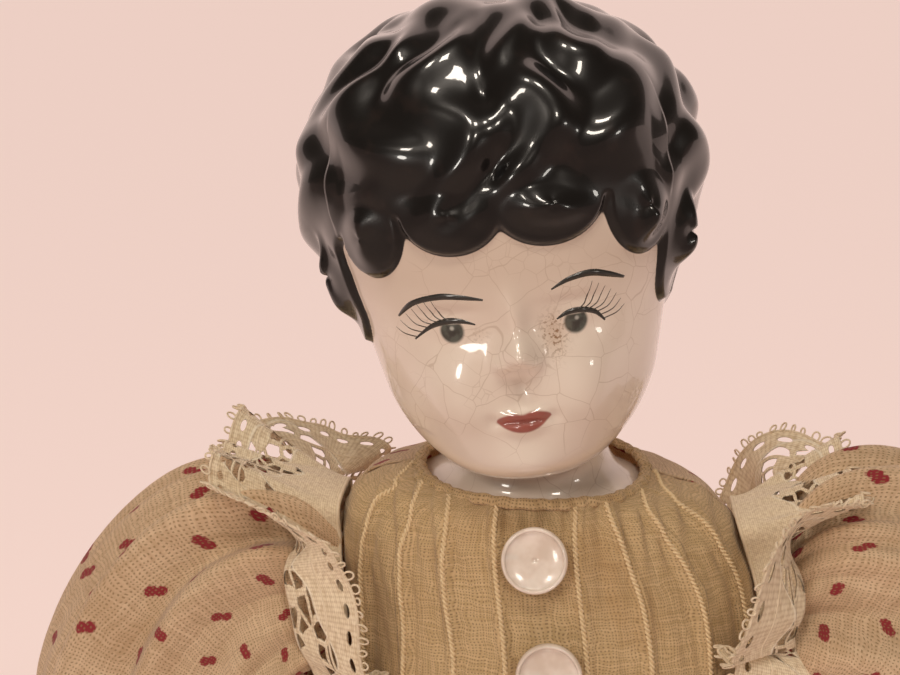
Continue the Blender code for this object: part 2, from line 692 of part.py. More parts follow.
def build_sleeve(name, side):
    """Full voile sleeve from the armhole to a band above the elbow; it turns with the arm."""
    top = SHOULDER_Z
    stations = [
        ((SHOULDER_X, 0, top), 0.0, 13.0, 13.0, 13.0),
        ((40.0, 0, top), 15.0, 26.0, 18.5, 14.0),
        ((47.0, 0, top - 5.0), 45.0, 32.5, 23.0, 14.0),
        (arm_place(1.0, 20.0), 76.0, 36.5, 25.5, 13.5),
        (arm_place(1.0, 32.0), 76.0, 33.5, 24.0, 14.5),
        (arm_place(1.0, 42.0), 76.0, 23.0, 18.0, 12.5),
        (arm_place(1.0, 49.0), 76.0, 10.4, 10.4, 10.4),
    ]
    outer, inner = [], []
    for place, slope, up, depth, down in stations:
        outer.append(bent_ring(side, place, slope, up, depth, down, 22))
        inner.append(bent_ring(side, place, slope, up - CLOTH, depth - CLOTH, down - CLOTH, 22))
    pivot = (side * SHOULDER_X, 0.0, SHOULDER_Z)
    add_world_piece(f"sleeve_{name}", tube(outer, inner), dotted_voile(), pivot)
    band = [(49.4, 10.3), (51.2, 10.1), (53.0, 10.3)]
    outer = [arm_ring(side, t, r, r, None, 18) for t, r in band]
    inner = [arm_ring(side, t, r - 1.0, r - 1.0, None, 18) for t, r in band]
    add_world_piece(f"sleeve_band_{name}", tube(outer, inner), cream_voile(), pivot)


def build_lace(name, side):
    """Gathered lace ruffle sewn from the front waist over the shoulder to the back waist."""
    heights = [258.5, 266.0, 275.0, 290.0, 304.0, 318.0, 328.0, 334.0]
    sewn_x = [16.0, 19.5, 22.5, 25.0, 26.8, 27.8, 28.2, 28.4]
    front = []
    for z, x in zip(heights, sewn_x):
        y = surface_y(BODICE, x, z) - 0.5
        rise = 5.0 * max(0.0, (z - 304.0) / 30.0) ** 2
        front.append(((x, y, z), (x + 11.0, y - 5.0, z + rise)))
    top = [((28.6, -3.0, 337.4), (38.4, -6.5, 347.5)), ((28.6, 3.0, 337.4), (38.4, 6.5, 347.5))]
    back = []
    for z, x in zip(heights[::-1], sewn_x[::-1]):
        y = surface_y(BODICE, x, z, 0.0, False) + 0.5
        rise = 5.0 * max(0.0, (z - 304.0) / 30.0) ** 2
        back.append(((x, y, z), (x + 11.0, y + 5.0, z + rise)))
    path = front + top + back
    near, far = [], []
    for i, (sewn, free) in enumerate(path):
        before, after = path[max(i - 1, 0)][0], path[min(i + 1, len(path) - 1)][0]
        normal = np.cross(np.array(free) - np.array(sewn), np.array(after) - np.array(before))
        normal = normal / np.linalg.norm(normal) * 0.6
        points = [np.array(sewn) + (np.array(free) - np.array(sewn)) * k / 3.0 for k in range(4)]
        near.append([(side * p[0], p[1], p[2]) for p in points])
        far.append([(side * (p + normal)[0], (p + normal)[1], (p + normal)[2]) for p in points])
    add_world_piece(f"lace_ruffle_{name}", swayed(panel(near, far)), lace_thread())


def build_skirts():
    """Gathered skirt over a petticoat."""
    add_world_piece("skirt", wall(SKIRT, 0.0, -CLOTH), dotted_voile())
    add_world_piece("petticoat", wall(PETTICOAT, 0.0, -CLOTH), white_cotton())


def build_drawers():
    """Hip part round the torso and one loose leg on each side."""
    yoke = [(206.2, 28.2, 16.0, 16.6)] + [row for row in TORSO if 220.0 < row[0] < 240.0]
    yoke += [(243.0, *at_height(TORSO, 243.0))]
    add_world_piece("drawers_hips", wall(yoke, 1.4, 0.6), white_cotton())
    for name, side in SIDES.items():
        cx = side * HIP_X
        stations = [(205.6, 13.6), (190.0, 14.8), (150.0, 15.0), (115.0, 15.2), (97.0, 15.4)]
        outer = [oval(z, r, r + 1.0, r + 1.0, 20, 2.0, cx) for z, r in stations]
        inner = [oval(z, r - CLOTH, r + 1.0 - CLOTH, r + 1.0 - CLOTH, 20, 2.0, cx) for z, r in stations]
        add_world_piece(f"drawers_{name}", tube(outer, inner), white_cotton(), (cx, 0.0, HIP_Z))


def main():
    """Build every piece."""
    clear_scene()
    build_shoulder_head()
    build_plate_stitches()
    build_torso()
    for name, side in SIDES.items():
        build_upper_arm(name, side)
        build_forearm(name, side)
        build_leg(name, side)
        build_sleeve(name, side)
        build_lace(name, side)
    build_bodice()
    build_placket()
    build_buttons()
    build_bands()
    build_skirts()
    build_drawers()


main()
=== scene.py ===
"""Looks of the china doll: glazed head, tucked bodice, dotted voile, lace and pearl buttons.

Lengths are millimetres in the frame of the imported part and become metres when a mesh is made.
"""

import json
import math

import bmesh
import bpy
import numpy as np
from mathutils import Matrix, Vector


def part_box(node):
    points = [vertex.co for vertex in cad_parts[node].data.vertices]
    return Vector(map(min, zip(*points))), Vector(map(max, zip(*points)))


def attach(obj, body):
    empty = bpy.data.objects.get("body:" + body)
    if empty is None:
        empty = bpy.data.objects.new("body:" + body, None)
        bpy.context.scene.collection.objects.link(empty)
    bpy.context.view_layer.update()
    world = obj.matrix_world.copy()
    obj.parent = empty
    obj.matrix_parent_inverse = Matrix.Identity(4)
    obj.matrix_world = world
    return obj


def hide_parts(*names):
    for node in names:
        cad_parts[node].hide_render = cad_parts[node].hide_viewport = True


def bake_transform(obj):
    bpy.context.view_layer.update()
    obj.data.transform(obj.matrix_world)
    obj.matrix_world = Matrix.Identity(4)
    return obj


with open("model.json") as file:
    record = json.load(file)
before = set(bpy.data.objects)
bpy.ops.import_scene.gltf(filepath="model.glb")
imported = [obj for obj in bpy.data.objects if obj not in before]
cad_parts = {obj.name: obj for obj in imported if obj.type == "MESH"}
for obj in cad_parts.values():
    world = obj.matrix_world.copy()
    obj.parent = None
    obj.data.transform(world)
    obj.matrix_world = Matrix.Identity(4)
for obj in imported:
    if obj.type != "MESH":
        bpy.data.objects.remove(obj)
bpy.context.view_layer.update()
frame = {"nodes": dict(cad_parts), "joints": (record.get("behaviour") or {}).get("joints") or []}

MM = 0.001
RIGHTWARD, FORWARD, UPWARD = np.array([1.0, 0.0, 0.0]), np.array([0.0, -1.0, 0.0]), np.array([0.0, 0.0, 1.0])
SIDES = {"left": 1.0, "right": -1.0}
JOINTS = {joint["name"]: joint for joint in frame["joints"]}


def node_box(name):
    """Low and high corner of a CAD node in millimetres."""
    low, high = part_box(name)
    return np.array(low) / MM, np.array(high) / MM


def node_middle(name):
    """Middle and half size of a CAD node's box."""
    low, high = node_box(name)
    return (low + high) / 2.0, (high - low) / 2.0


def node_points(name):
    """Corner points of a CAD node's mesh."""
    node = frame["nodes"][name]
    return np.array([node.matrix_world @ vertex.co for vertex in node.data.vertices]) / MM


# the head is placed by the shoulder joints, which lie this far below the chin
CHIN_ABOVE_SHOULDER = 32.0
CHIN_Z = JOINTS["shoulder_left"]["pos_m"][2] / MM + CHIN_ABOVE_SHOULDER
HEAD_LEAN = -8.0
HEAD_TURN = 3.0
HEAD_PIVOT_Z = -4.0
NECK_BLEND = (-9.0, 1.0)
# neck and dress top settle sideways by this much between these heights about the chin
SWAY = -4.5
SWAY_SPAN = (-34.0, -2.0)
FACE_RADIUS = 25.6
PLATE_THICKNESS = 2.6
# the arms hang this far out from the upright, in radians
ARM_SPREAD = math.radians(14.0)
# width of the voile gathered into a sleeve
SLEEVE_GIRTH = 186.0

# head profiles from the crown to the plate edge: (height above the chin, distance from the axis)
FRONT_PROFILE = [
    (66.5, 0.0), (64.5, 10.0), (57.5, 20.5), (47.0, 25.4), (38.0, 26.2), (30.0, 25.9),
    (24.5, 25.0), (19.5, 25.1), (15.0, 25.0), (10.5, 24.9), (5.6, 24.1), (2.0, 22.8),
    (-0.7, 19.4), (-2.0, 15.0), (-3.4, 12.2), (-6.5, 12.6), (-9.5, 15.6), (-14.0, 18.0),
    (-21.0, 19.2), (-29.0, 19.4), (-38.0, 19.4),
]
SIDE_PROFILE = [
    (66.5, 0.0), (64.3, 11.0), (57.0, 22.0), (47.0, 27.6), (38.0, 27.8), (30.0, 26.2),
    (24.5, 24.4), (19.5, 23.1), (15.0, 22.1), (10.5, 20.9), (6.0, 18.6), (3.4, 16.2),
    (1.6, 14.2), (0.0, 12.6), (-2.4, 12.0), (-6.0, 14.0), (-8.6, 19.4), (-13.0, 26.0),
    (-19.0, 29.0), (-28.0, 30.6), (-38.0, 31.0),
]
BACK_PROFILE = [
    (66.5, 0.0), (64.3, 12.0), (57.0, 24.0), (47.0, 29.6), (38.0, 30.2), (30.0, 28.0),
    (24.5, 25.0), (19.5, 21.6), (15.0, 18.4), (10.5, 15.6), (6.0, 13.8), (3.4, 12.8),
    (1.6, 12.2), (0.0, 12.0), (-2.4, 11.8), (-6.5, 13.4), (-9.5, 15.6), (-14.5, 17.4),
    (-21.0, 18.4), (-29.0, 19.2), (-38.0, 19.4),
]
# painted hair: height of its lower edge by distance round the face, then the rounded locks below it
HAIR_LINE = [(0.0, 41.0), (21.0, 41.0), (26.0, 35.0), (31.0, 28.0), (36.0, 20.0), (50.0, 12.0), (85.0, 7.0)]
HAIR_LOCKS = [
    (-6.6, 41.2, 7.0, 5.9, 0.0), (6.4, 41.4, 7.5, 6.0, 0.0), (19.2, 38.6, 5.4, 7.2, 12.0),
    (28.2, 32.5, 5.4, 10.5, -6.0), (-18.4, 38.6, 5.2, 6.3, -10.0), (-29.6, 31.5, 5.2, 11.5, 4.0),
]
EYES = [(-8.9, 24.3), (9.0, 23.9)]
IRIS_RADIUS = 1.8
MOUTH = (0.0, 10.6)

# the outside of the bodice as shares of its own box: height, half width, depth in front and behind
BODICE_SHAPE = [
    (0.0, 0.70, 0.685, 0.735), (0.064, 0.80, 0.796, 0.816), (0.21, 0.916, 0.926, 0.918),
    (0.378, 0.983, 1.0, 0.98), (0.535, 1.0, 1.0, 1.0), (0.692, 1.0, 0.926, 0.939),
    (0.804, 0.99, 0.807, 0.841), (0.893, 0.93, 0.72, 0.78), (0.93, 0.86, 0.67, 0.74),
    (0.957, 0.76, 0.63, 0.70), (0.981, 0.535, 0.60, 0.645), (1.0, 0.44, 0.56, 0.60),
]
BODY_POWER = 2.2
# corded tucks from the doll's right to its left: where each one crosses the chest and the neckline
CORDS = [
    (-29.6, -22.0), (-22.4, -16.6), (-14.6, -11.8), (-6.5, -4.8), (5.6, 6.8), (15.3, 11.2), (24.4, 16.8),
    (31.2, 22.5),
]


# ---------------------------------------------------------------- numbers
def smooth(t):
    """Ease from 0 to 1."""
    t = np.clip(t, 0.0, 1.0)
    return t * t * (3.0 - 2.0 * t)


def curve(values, t):
    """Smooth curve through evenly spaced values; t counts along the list."""
    values = np.asarray(values, float)
    last = len(values) - 1
    t = np.clip(t, 0.0, last)
    i = np.minimum(t.astype(int), last - 1)
    f = t - i
    p0, p1 = values[np.maximum(i - 1, 0)], values[i]
    p2, p3 = values[i + 1], values[np.minimum(i + 2, last)]
    if values.ndim > 1:
        f = f[..., None]
    return p1 + 0.5 * f * (p2 - p0 + f * (2 * p0 - 5 * p1 + 4 * p2 - p3 + f * (3 * (p1 - p2) + p3 - p0)))


def bump(x, z, cx, cz, wide, high):
    """A smooth hill of height one."""
    return np.exp(-((x - cx) / wide) ** 2 - ((z - cz) / high) ** 2)


def waves(x, y, seed):
    """Gentle repeatable unevenness between about -1 and 1."""
    total = np.sin(1.3 * x + 2.1 * seed) * np.cos(1.7 * y - 1.1 * seed)
    total = total + 0.6 * np.sin(2.9 * x - 1.9 * y + 3.7 * seed)
    return (total + 0.4 * np.sin(5.3 * x + 4.1 * y + 0.7 * seed)) / 2.0


def swayed(points):
    """Points of the upper torso shifted sideways by the sway at their height."""
    low, high = SWAY_SPAN
    shift = SWAY * smooth((points[..., 2] - CHIN_Z - low) / (high - low))
    return points + shift[..., None] * RIGHTWARD


def unit(v):
    """Vectors of length one."""
    return v / np.maximum(np.linalg.norm(v, axis=-1, keepdims=True), 1e-9)


def level_out(points):
    """Level unit vectors from the doll's upright axis out to points."""
    return unit(points * np.array([1.0, 1.0, 0.0]))


def circle(count):
    """Evenly spaced angles once round."""
    return np.linspace(0.0, 2.0 * np.pi, count, endpoint=False)


def distances(path):
    """Distance run along a path at each of its points."""
    return np.concatenate([[0.0], np.cumsum(np.linalg.norm(np.diff(path, axis=0), axis=1))])


def fine(count):
    return count


def direction(azimuth, height):
    """Unit vector from the doll towards a viewpoint; azimuth 0 is in front."""
    a, e = math.radians(azimuth), math.radians(height)
    return Vector((math.sin(a) * math.cos(e), -math.cos(a) * math.cos(e), math.sin(e)))


# ---------------------------------------------------------------- meshes
def add_object(name, data):
    """A new object in the scene."""
    made = bpy.data.objects.new(name, data)
    bpy.context.scene.collection.objects.link(made)
    return made


def add_mesh(name, points, faces, material):
    """A mesh object from millimetre points."""
    mesh = bpy.data.meshes.new(name)
    mesh.from_pydata((np.asarray(points) * MM).tolist(), [], faces)
    mesh.shade_smooth()
    mesh.materials.append(material)
    return add_object(name, mesh)


def store_values(mesh, values):
    """Keep named numbers, one for every vertex."""
    for label, data in values.items():
        attribute = mesh.attributes.new(label, "FLOAT", "POINT")
        attribute.data.foreach_set("value", np.asarray(data, np.float32).ravel())


def store_uv(mesh, corner_uv):
    """Keep the place along the cloth, one for every face corner."""
    layer = mesh.uv_layers.new(name="weave")
    layer.uv.foreach_set("vector", np.asarray(corner_uv, np.float32).ravel())


def place(piece, body, slot_name, *nodes):
    """Hang a piece on a body and hide the CAD nodes it stands for; the finish name is not used."""
    if body:
        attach(piece, body)
    if nodes:
        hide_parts(*nodes)
    return piece


def blend_at(sheet):
    """Bake a sheet's placement into its points."""
    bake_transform(sheet)


def normals_of(points, wrap):
    """Unit normals of a grid of points."""
    down = np.gradient(points, axis=0)
    if wrap:
        across = np.roll(points, -1, axis=1) - np.roll(points, 1, axis=1)
    else:
        across = np.gradient(points, axis=1)
    return unit(np.cross(across, down))


def cloth(name, points, thick, material, wrap=False, uv=None, values=None):
    """A closed sheet of cloth round a grid of points; uv has one more column when the sheet wraps round."""
    rows, columns = points.shape[:2]
    uv = even_uv(points, wrap) if uv is None else uv
    offset = normals_of(points, wrap) * thick / 2.0
    both = np.concatenate([(points + offset).reshape(-1, 3), (points - offset).reshape(-1, 3)])
    back = rows * columns
    across, down = np.arange(columns if wrap else columns - 1), np.arange(rows - 1)
    i, j = [part.ravel() for part in np.meshgrid(down, across, indexing="ij")]
    i, j = np.stack([i, i, i + 1, i + 1], 1), np.stack([j, j + 1, j + 1, j], 1)
    top = i * columns + j % columns
    faces, places = [top, back + top[:, ::-1]], [(i, j), (i[:, ::-1], j[:, ::-1])]
    for row in (0, rows - 1):
        a, b = row * columns + across, row * columns + (across + 1) % columns
        quad = np.stack([a, a + back, b + back, b], 1)
        where = np.stack([across, across, across + 1, across + 1], 1)
        turn = -1 if row else 1
        faces.append(quad[:, ::turn])
        places.append((np.full_like(where, row), where[:, ::turn]))
    for column in () if wrap else (0, columns - 1):
        a, b = down * columns + column, (down + 1) * columns + column
        quad = np.stack([b, b + back, a + back, a], 1)
        where = np.stack([down + 1, down + 1, down, down], 1)
        turn = -1 if column else 1
        faces.append(quad[:, ::turn])
        places.append((where[:, ::turn], np.full_like(where, column)))
    piece = add_mesh(name, both, np.concatenate(faces).tolist(), material)
    store_uv(piece.data, np.concatenate([uv[p[0].ravel(), p[1].ravel()] for p in places]))
    store_values(piece.data, {key: np.tile(data.ravel(), 2) for key, data in (values or {}).items()})
    return piece


def even_uv(points, wrap, width=None):
    """Texture place of every grid point, in millimetres measured along the cloth."""
    rows, columns = points.shape[:2]
    steps = np.linalg.norm(np.diff(points, axis=0), axis=2).mean(axis=1)
    around = np.roll(points, -1, axis=1) - points if wrap else np.diff(points, axis=1)
    full = width or np.linalg.norm(around, axis=2).sum(axis=1).max()
    u = np.linspace(0.0, full, columns + 1 if wrap else columns)
    return np.stack(np.meshgrid(u, np.concatenate([[0.0], np.cumsum(steps)])), axis=2)


def rings_along(path, reference, offsets_across, offsets_up, closed):
    """Points round a path: per-ring offsets across and along a reference direction."""
    if closed:
        tangent = unit(np.roll(path, -1, axis=0) - np.roll(path, 1, axis=0))
    else:
        tangent = unit(np.gradient(path, axis=0))
    reference = np.broadcast_to(np.asarray(reference, float), path.shape)
    up = unit(reference - (reference * tangent).sum(1, keepdims=True) * tangent)
    across = np.cross(tangent, up)
    return path[:, None] + across[:, None] * offsets_across[..., None] + up[:, None] * offsets_up[..., None]


class Gather:
    """Collects many small closed shapes into one mesh."""

    def __init__(self):
        self.points, self.faces, self.count = [], [], 0

    def add_rings(self, rings, closed=False):
        """Add a run of rings, joined into a loop or with a fan over each end."""
        rows, sides = rings.shape[:2]
        i, j = np.meshgrid(np.arange(rows if closed else rows - 1), np.arange(sides), indexing="ij")
        i, j, after = i.ravel(), j.ravel(), (j.ravel() + 1) % sides
        row, below = i * sides, (i + 1) % rows * sides
        faces = (np.stack([row + j, row + after, below + after, below + j], 1) + self.count).tolist()
        points = [rings.reshape(-1, 3)]
        side = np.arange(sides)
        for k, first in enumerate(() if closed else (0, (rows - 1) * sides)):
            points.append(points[0][first:first + sides].mean(axis=0, keepdims=True))
            hub = np.full(sides, rows * sides + k)
            fan = np.stack([first + side, first + (side + 1) % sides, hub], 1) + self.count
            faces += (fan[:, ::-1] if k else fan).tolist()
        self.points += points
        self.faces += faces
        self.count += sum(len(part) for part in points)

    def piece(self, name, material):
        """Make the collected mesh, its faces turned outward."""
        item = add_mesh(name, np.concatenate(self.points), self.faces, material)
        repair = bmesh.new()
        repair.from_mesh(item.data)
        bmesh.ops.recalc_face_normals(repair, faces=repair.faces)
        repair.to_mesh(item.data)
        repair.free()
        return item


def add_tube(gather, path, radius, reference, closed=False, sides=6):
    """A plain round thread along a path."""
    across, up = [np.tile(radius * way(circle(sides)), (len(path), 1)) for way in (np.cos, np.sin)]
    gather.add_rings(rings_along(path, reference, across, up, closed), closed)


def cord_piece(name, material, paths, radius, pitch, reference=(0.3, -1.0, 0.2), closed=False):
    """Two plies twisted round each other along each path."""
    gather = Gather()
    angle = circle(6)
    for path in paths:
        along = distances(path)
        total, step = along[-1], pitch
        if closed:
            total += np.linalg.norm(path[0] - path[-1])
            step = total / max(1, round(total / pitch))
            path = np.concatenate([path, path[:1]])
            along = np.append(along, total)
        spots = np.linspace(0.0, total, int(max(24, total / step * 10)), endpoint=not closed)
        middle = np.stack([np.interp(spots, along, path[:, k]) for k in range(3)], 1)
        for ply in (0.0, np.pi):
            turn = (spots * 2.0 * np.pi / step + ply)[:, None]
            across = radius * (0.46 * np.cos(turn) + 0.56 * np.cos(angle))
            lift = radius * (0.46 * np.sin(turn) + 0.56 * np.sin(angle))
            gather.add_rings(rings_along(middle, reference, across, lift, closed), closed)
    return gather.piece(name, material)


def arm_axes(side, spread):
    """Ways down and across a limb that hangs out from the upright by an angle."""
    return (np.array([side * math.sin(spread), 0.0, -math.cos(spread)]),
            np.array([math.cos(spread), 0.0, side * math.sin(spread)]))


def loop_path(middle, first, second, count):
    """An oval loop through a middle plus and minus two vectors."""
    angle = circle(count)[:, None]
    return middle + np.cos(angle) * first + np.sin(angle) * second


# ---------------------------------------------------------------- materials
class Value:
    """A number inside a shader, open to plain arithmetic."""

    def __init__(self, nodes, socket):
        self.nodes, self.socket = nodes, socket

    def __add__(self, other):
        return self.nodes.math("ADD", self, other)

    def __sub__(self, other):
        return self.nodes.math("SUBTRACT", self, other)

    def __rsub__(self, other):
        return self.nodes.math("SUBTRACT", other, self)

    def __mul__(self, other):
        return self.nodes.math("MULTIPLY", self, other)

    def __truediv__(self, other):
        return self.nodes.math("DIVIDE", self, other)


class Nodes:
    """Short names for building the shader of a material or of the world."""

    def __init__(self, name, owner=None):
        self.material = owner or bpy.data.materials.new(name)
        self.material.use_nodes = True
        self.tree = self.material.node_tree
        self.shader = self.tree.nodes.get("Principled BSDF")

    def put(self, socket, value):
        """Link or set one input."""
        value = value.socket if isinstance(value, Value) else value
        if isinstance(value, bpy.types.NodeSocket):
            self.tree.links.new(value, socket)
        elif value is not None:
            socket.default_value = value

    def node(self, kind, inputs=None, **settings):
        """Any node."""
        made = self.tree.nodes.new(f"ShaderNode{kind}")
        for key, value in settings.items():
            setattr(made, key, value)
        for key, value in (inputs or {}).items():
            self.put(made.inputs[key], value)
        return made

    def math(self, operation, a, b=None):
        """One sum."""
        return Value(self, self.node("Math", {0: a, 1: b}, operation=operation).outputs[0])

    def sine(self, value):
        """The sine of a value."""
        return self.math("SINE", value)

    def length(self, x, y):
        """Length of a flat vector."""
        return self.math("SQRT", x * x + y * y)

    def step(self, value, low, high, to_low=0.0, to_high=1.0):
        """Smooth step between two values."""
        made = self.node("MapRange", {0: value, 1: low, 2: high, 3: to_low, 4: to_high},
                         interpolation_type="SMOOTHSTEP")
        return Value(self, made.outputs[0])

    def mix(self, factor, a, b):
        """Blend two colours."""
        return self.node("Mix", {0: factor, 6: a, 7: b}, data_type="RGBA").outputs[2]

    def attribute(self, name):
        """A stored number."""
        return Value(self, self.node("Attribute", attribute_name=name).outputs["Fac"])

    def noise_node(self, place, scale, detail=2.0, rough=0.5):
        """Soft noise in grey and in colour."""
        return self.node("TexNoise", {"Vector": place, "Scale": scale, "Detail": detail, "Roughness": rough})

    def noise(self, *settings):
        """Soft noise."""
        return Value(self, self.noise_node(*settings).outputs["Fac"])

    def wobble(self, place, scale, reach):
        """A place shifted by soft noise."""
        drift = self.noise_node(place, scale).outputs["Color"]
        shift = self.node("VectorMath", {0: drift, 1: reach}, operation="MULTIPLY").outputs[0]
        return self.node("VectorMath", {0: place, 1: shift}, operation="ADD").outputs[0]

    def cell_edge(self, place, scale, random, dimensions="3D"):
        """Distance from the edges of an irregular cell pattern."""
        return Value(self, self.node("TexVoronoi", {"Vector": place, "Scale": scale, "Randomness": random},
                                     voronoi_dimensions=dimensions, feature="DISTANCE_TO_EDGE").outputs[0])

    def vector(self, x, y, z=0.0):
        """A vector from three numbers."""
        return self.node("CombineXYZ", {0: x, 1: y, 2: z}).outputs[0]

    def parts(self, vector):
        """The three numbers of a vector or colour."""
        return [Value(self, socket) for socket in self.node("SeparateXYZ", {0: vector}).outputs]

    def bump(self, height, strength, distance):
        """Surface relief."""
        return self.node("Bump", {"Strength": strength, "Distance": distance, "Height": height}).outputs[0]

    def place(self):
        """Place on the object, in metres."""
        return self.node("TexCoord").outputs["Object"]

    def weave_place(self):
        """Place along the cloth in millimetres: vector, u and v."""
        spot = self.node("UVMap", uv_map="weave").outputs[0]
        return [spot] + self.parts(spot)[:2]

    def threads(self, u, v, pitch):
        """Height of the two thread sets of a plain weave."""
        return [self.math("ABSOLUTE", self.sine(value * (math.pi / pitch))) for value in (u, v)]

    def look(self, **inputs):
        """Set inputs of the main shader by their names."""
        for key, value in inputs.items():
            self.put(self.shader.inputs[key.replace("_", " ")], value)


def colour(red, green, blue):
    """A colour value."""
    return (red, green, blue, 1.0)


def crazing(n):
    """Depth of the fine cracks in the glaze: 1 on a line."""
    place = n.place()
    spot = n.wobble(place, 160.0, (0.0022, 0.0022, 0.0022))
    wide, narrow = n.cell_edge(spot, 175.0, 0.9), n.cell_edge(spot, 420.0, 1.0)
    patch = n.step(n.noise(place, 90.0, 1.0), 0.5, 0.62)
    first = n.step(wide, 0.004, 0.014, 1.0, 0.0)
    second = n.step(narrow, 0.008, 0.03, 0.7, 0.0) * patch
    return n.math("MAXIMUM", first, second) * n.step(n.noise(place, 60.0, 1.0), 0.36, 0.56)


def glaze(n, base, lines, wet=0.05):
    """White china under a clear glaze with fine cracks."""
    n.look(Base_Color=base, Roughness=0.3, Specular_IOR_Level=0.4, Coat_Weight=1.0, Coat_Roughness=wet,
           Coat_IOR=1.5, Normal=n.bump(lines, 0.12, 0.00005))


def china_colour(n, lines):
    """Warm white clay with faint shade and crack lines."""
    cloudy = n.step(n.noise(n.place(), 55.0, 3.0), 0.35, 0.7)
    body = n.mix(cloudy, colour(0.76, 0.65, 0.55), colour(0.82, 0.73, 0.63))
    return n.mix(lines * 0.42, body, colour(0.46, 0.34, 0.25))


def head_material():
    """Painted head: white face, black hair, grey-green eyes, red lips, dust in the right eye corner, and
    painted shade under the nose, beside the mouth and from the eyes up to the hairline.
    """
    n = Nodes("painted_china_head")
    lines = crazing(n)
    base = china_colour(n, lines)
    lip = n.step(n.attribute("lip_gap"), -0.28, 0.16, 1.0, 0.0)
    lip_shade = n.mix(n.noise(n.place(), 420.0, 3.0), colour(0.24, 0.03, 0.02), colour(0.37, 0.075, 0.05))
    base = n.mix(lip * 0.93, base, lip_shade)
    eye = n.attribute("iris_gap")
    streak = n.step(n.noise(n.place(), 900.0, 2.0), 0.35, 0.65)
    iris_shade = n.mix(streak, colour(0.016, 0.020, 0.017), colour(0.060, 0.075, 0.062))
    iris_shade = n.mix(n.step(eye, -1.5, -0.9, 1.0, 0.0), iris_shade, colour(0.008, 0.009, 0.009))
    glint = n.step(n.attribute("glint_gap"), 0.0, 0.35, 1.0, 0.0)
    iris_shade = n.mix(glint, iris_shade, colour(0.42, 0.42, 0.38))
    base = n.mix(n.step(eye, -0.35, 0.22, 1.0, 0.0) * 0.95, base, iris_shade)
    specks = n.step(n.noise(n.place(), 2300.0, 2.0), 0.53, 0.60)
    base = n.mix(n.attribute("dust") * specks * 0.9, base, colour(0.19, 0.09, 0.03))
    base = n.mix(n.attribute("dust") * 0.32, base, colour(0.42, 0.24, 0.12))
    # painted shade: the shade numbers darken the china under the nose, beside the mouth and from the eyes up
    # to the hairline
    base = n.mix(n.attribute("shade"), base, colour(0.40, 0.27, 0.18))
    hair = n.step(n.attribute("hair_gap"), -0.10, 0.04, 1.0, 0.0)
    brownish = n.step(n.noise(n.place(), 300.0, 2.0), 0.55, 0.8)
    base = n.mix(hair, base, n.mix(brownish, colour(0.004, 0.0035, 0.0035), colour(0.012, 0.008, 0.007)))
    glaze(n, base, lines * (1.0 - hair * 0.9), 0.035)
    return n.material


def ink_material(name, tone):
    """Painted line under the glaze."""
    n = Nodes(name)
    shade = n.mix(n.noise(n.place(), 1500.0, 3.0), colour(*tone), colour(*[c * 2.4 + 0.02 for c in tone]))
    n.look(Base_Color=shade, Roughness=0.35, Coat_Weight=1.0, Coat_Roughness=0.06)
    return n.material


def limb_china_material(name, boot_edge=None):
    """White china; below an edge height it is painted as a black boot."""
    n = Nodes(name)
    lines = crazing(n)
    base = china_colour(n, lines)
    if boot_edge:
        boot = n.step(n.parts(n.place())[2], boot_edge * MM, (boot_edge + 0.3) * MM, 1.0, 0.0)
        base = n.mix(boot, base, colour(0.006, 0.005, 0.005))
    glaze(n, base, lines)
    return n.material


def weave_material(name, light, dark, gap_tone, pitch=0.47, dots=None, stains=0.5, see_through=0.22):
    """Thin plain-woven cloth with uneven threads, open gaps, faint stains and optional printed dots."""
    n = Nodes(name)
    spot, u, v = n.weave_place()
    drift = n.parts(n.noise_node(spot, 0.35).outputs["Color"])
    u2, v2 = u + drift[0] * 1.6, v + drift[1] * 1.6
    across, along = n.threads(u2, v2, pitch)
    gap = n.step(n.math("MAXIMUM", across, along), 0.42, 0.74, 1.0, 0.0)
    warp = n.noise(n.vector(u2 * 2.2, v2 * 0.12), 1.0, 1.0)
    weft = n.noise(n.vector(u2 * 0.12, v2 * 2.2, 7.0), 1.0, 1.0)
    base = n.mix(n.step((warp + weft) * 0.5, 0.34, 0.66), colour(*dark), colour(*light))
    stain = n.step(n.noise(spot, 0.055, 3.0), 0.52, 0.75)
    base = n.mix(stain * stains, base, colour(light[0] * 0.62, light[1] * 0.48, light[2] * 0.34))
    if dots:
        base = n.mix(dot_mask(n, u, v, dots, across - along), base, colour(0.36, 0.012, 0.035))
    shadow = n.mix(gap * 0.75, base, colour(*gap_tone))
    n.look(Base_Color=shadow, Roughness=0.85, Specular_IOR_Level=0.15, Sheen_Weight=0.25, Sheen_Roughness=0.5,
           Normal=n.bump(across + along, 0.55, 0.00007))
    glow = n.node("BsdfTranslucent", {"Color": shadow})
    both = n.node("MixShader", {0: see_through, 1: n.shader.outputs[0], 2: glow.outputs[0]})
    n.put(n.tree.nodes["Material Output"].inputs[0], both.outputs[0])
    return n.material


def dot_mask(n, u, v, pitches, ragged):
    """Small doubled dots on a staggered lattice, with thread-ragged edges."""
    pitch_u, pitch_v = pitches
    row = n.math("FLOOR", v / pitch_v)
    cell_u = u / pitch_u + n.math("MODULO", row, 2.0) * 0.5
    key = n.vector(row, n.math("FLOOR", cell_u))
    random = n.parts(n.node("TexWhiteNoise", {"Vector": key}, noise_dimensions="2D").outputs["Color"])
    x = (n.math("FRACT", cell_u) - 0.5) * pitch_u + (random[0] - 0.5) * 2.2
    y = (n.math("FRACT", v / pitch_v) - 0.5) * pitch_v + (random[1] - 0.5) * 2.0
    halves = [n.length(x + 0.42 * sign, y + (random[2] - 0.5) * (0.9 * sign)) for sign in (-1.0, 1.0)]
    return n.step(n.math("MINIMUM", *halves) + ragged * 0.10, 0.60, 0.82, 0.94, 0.0)


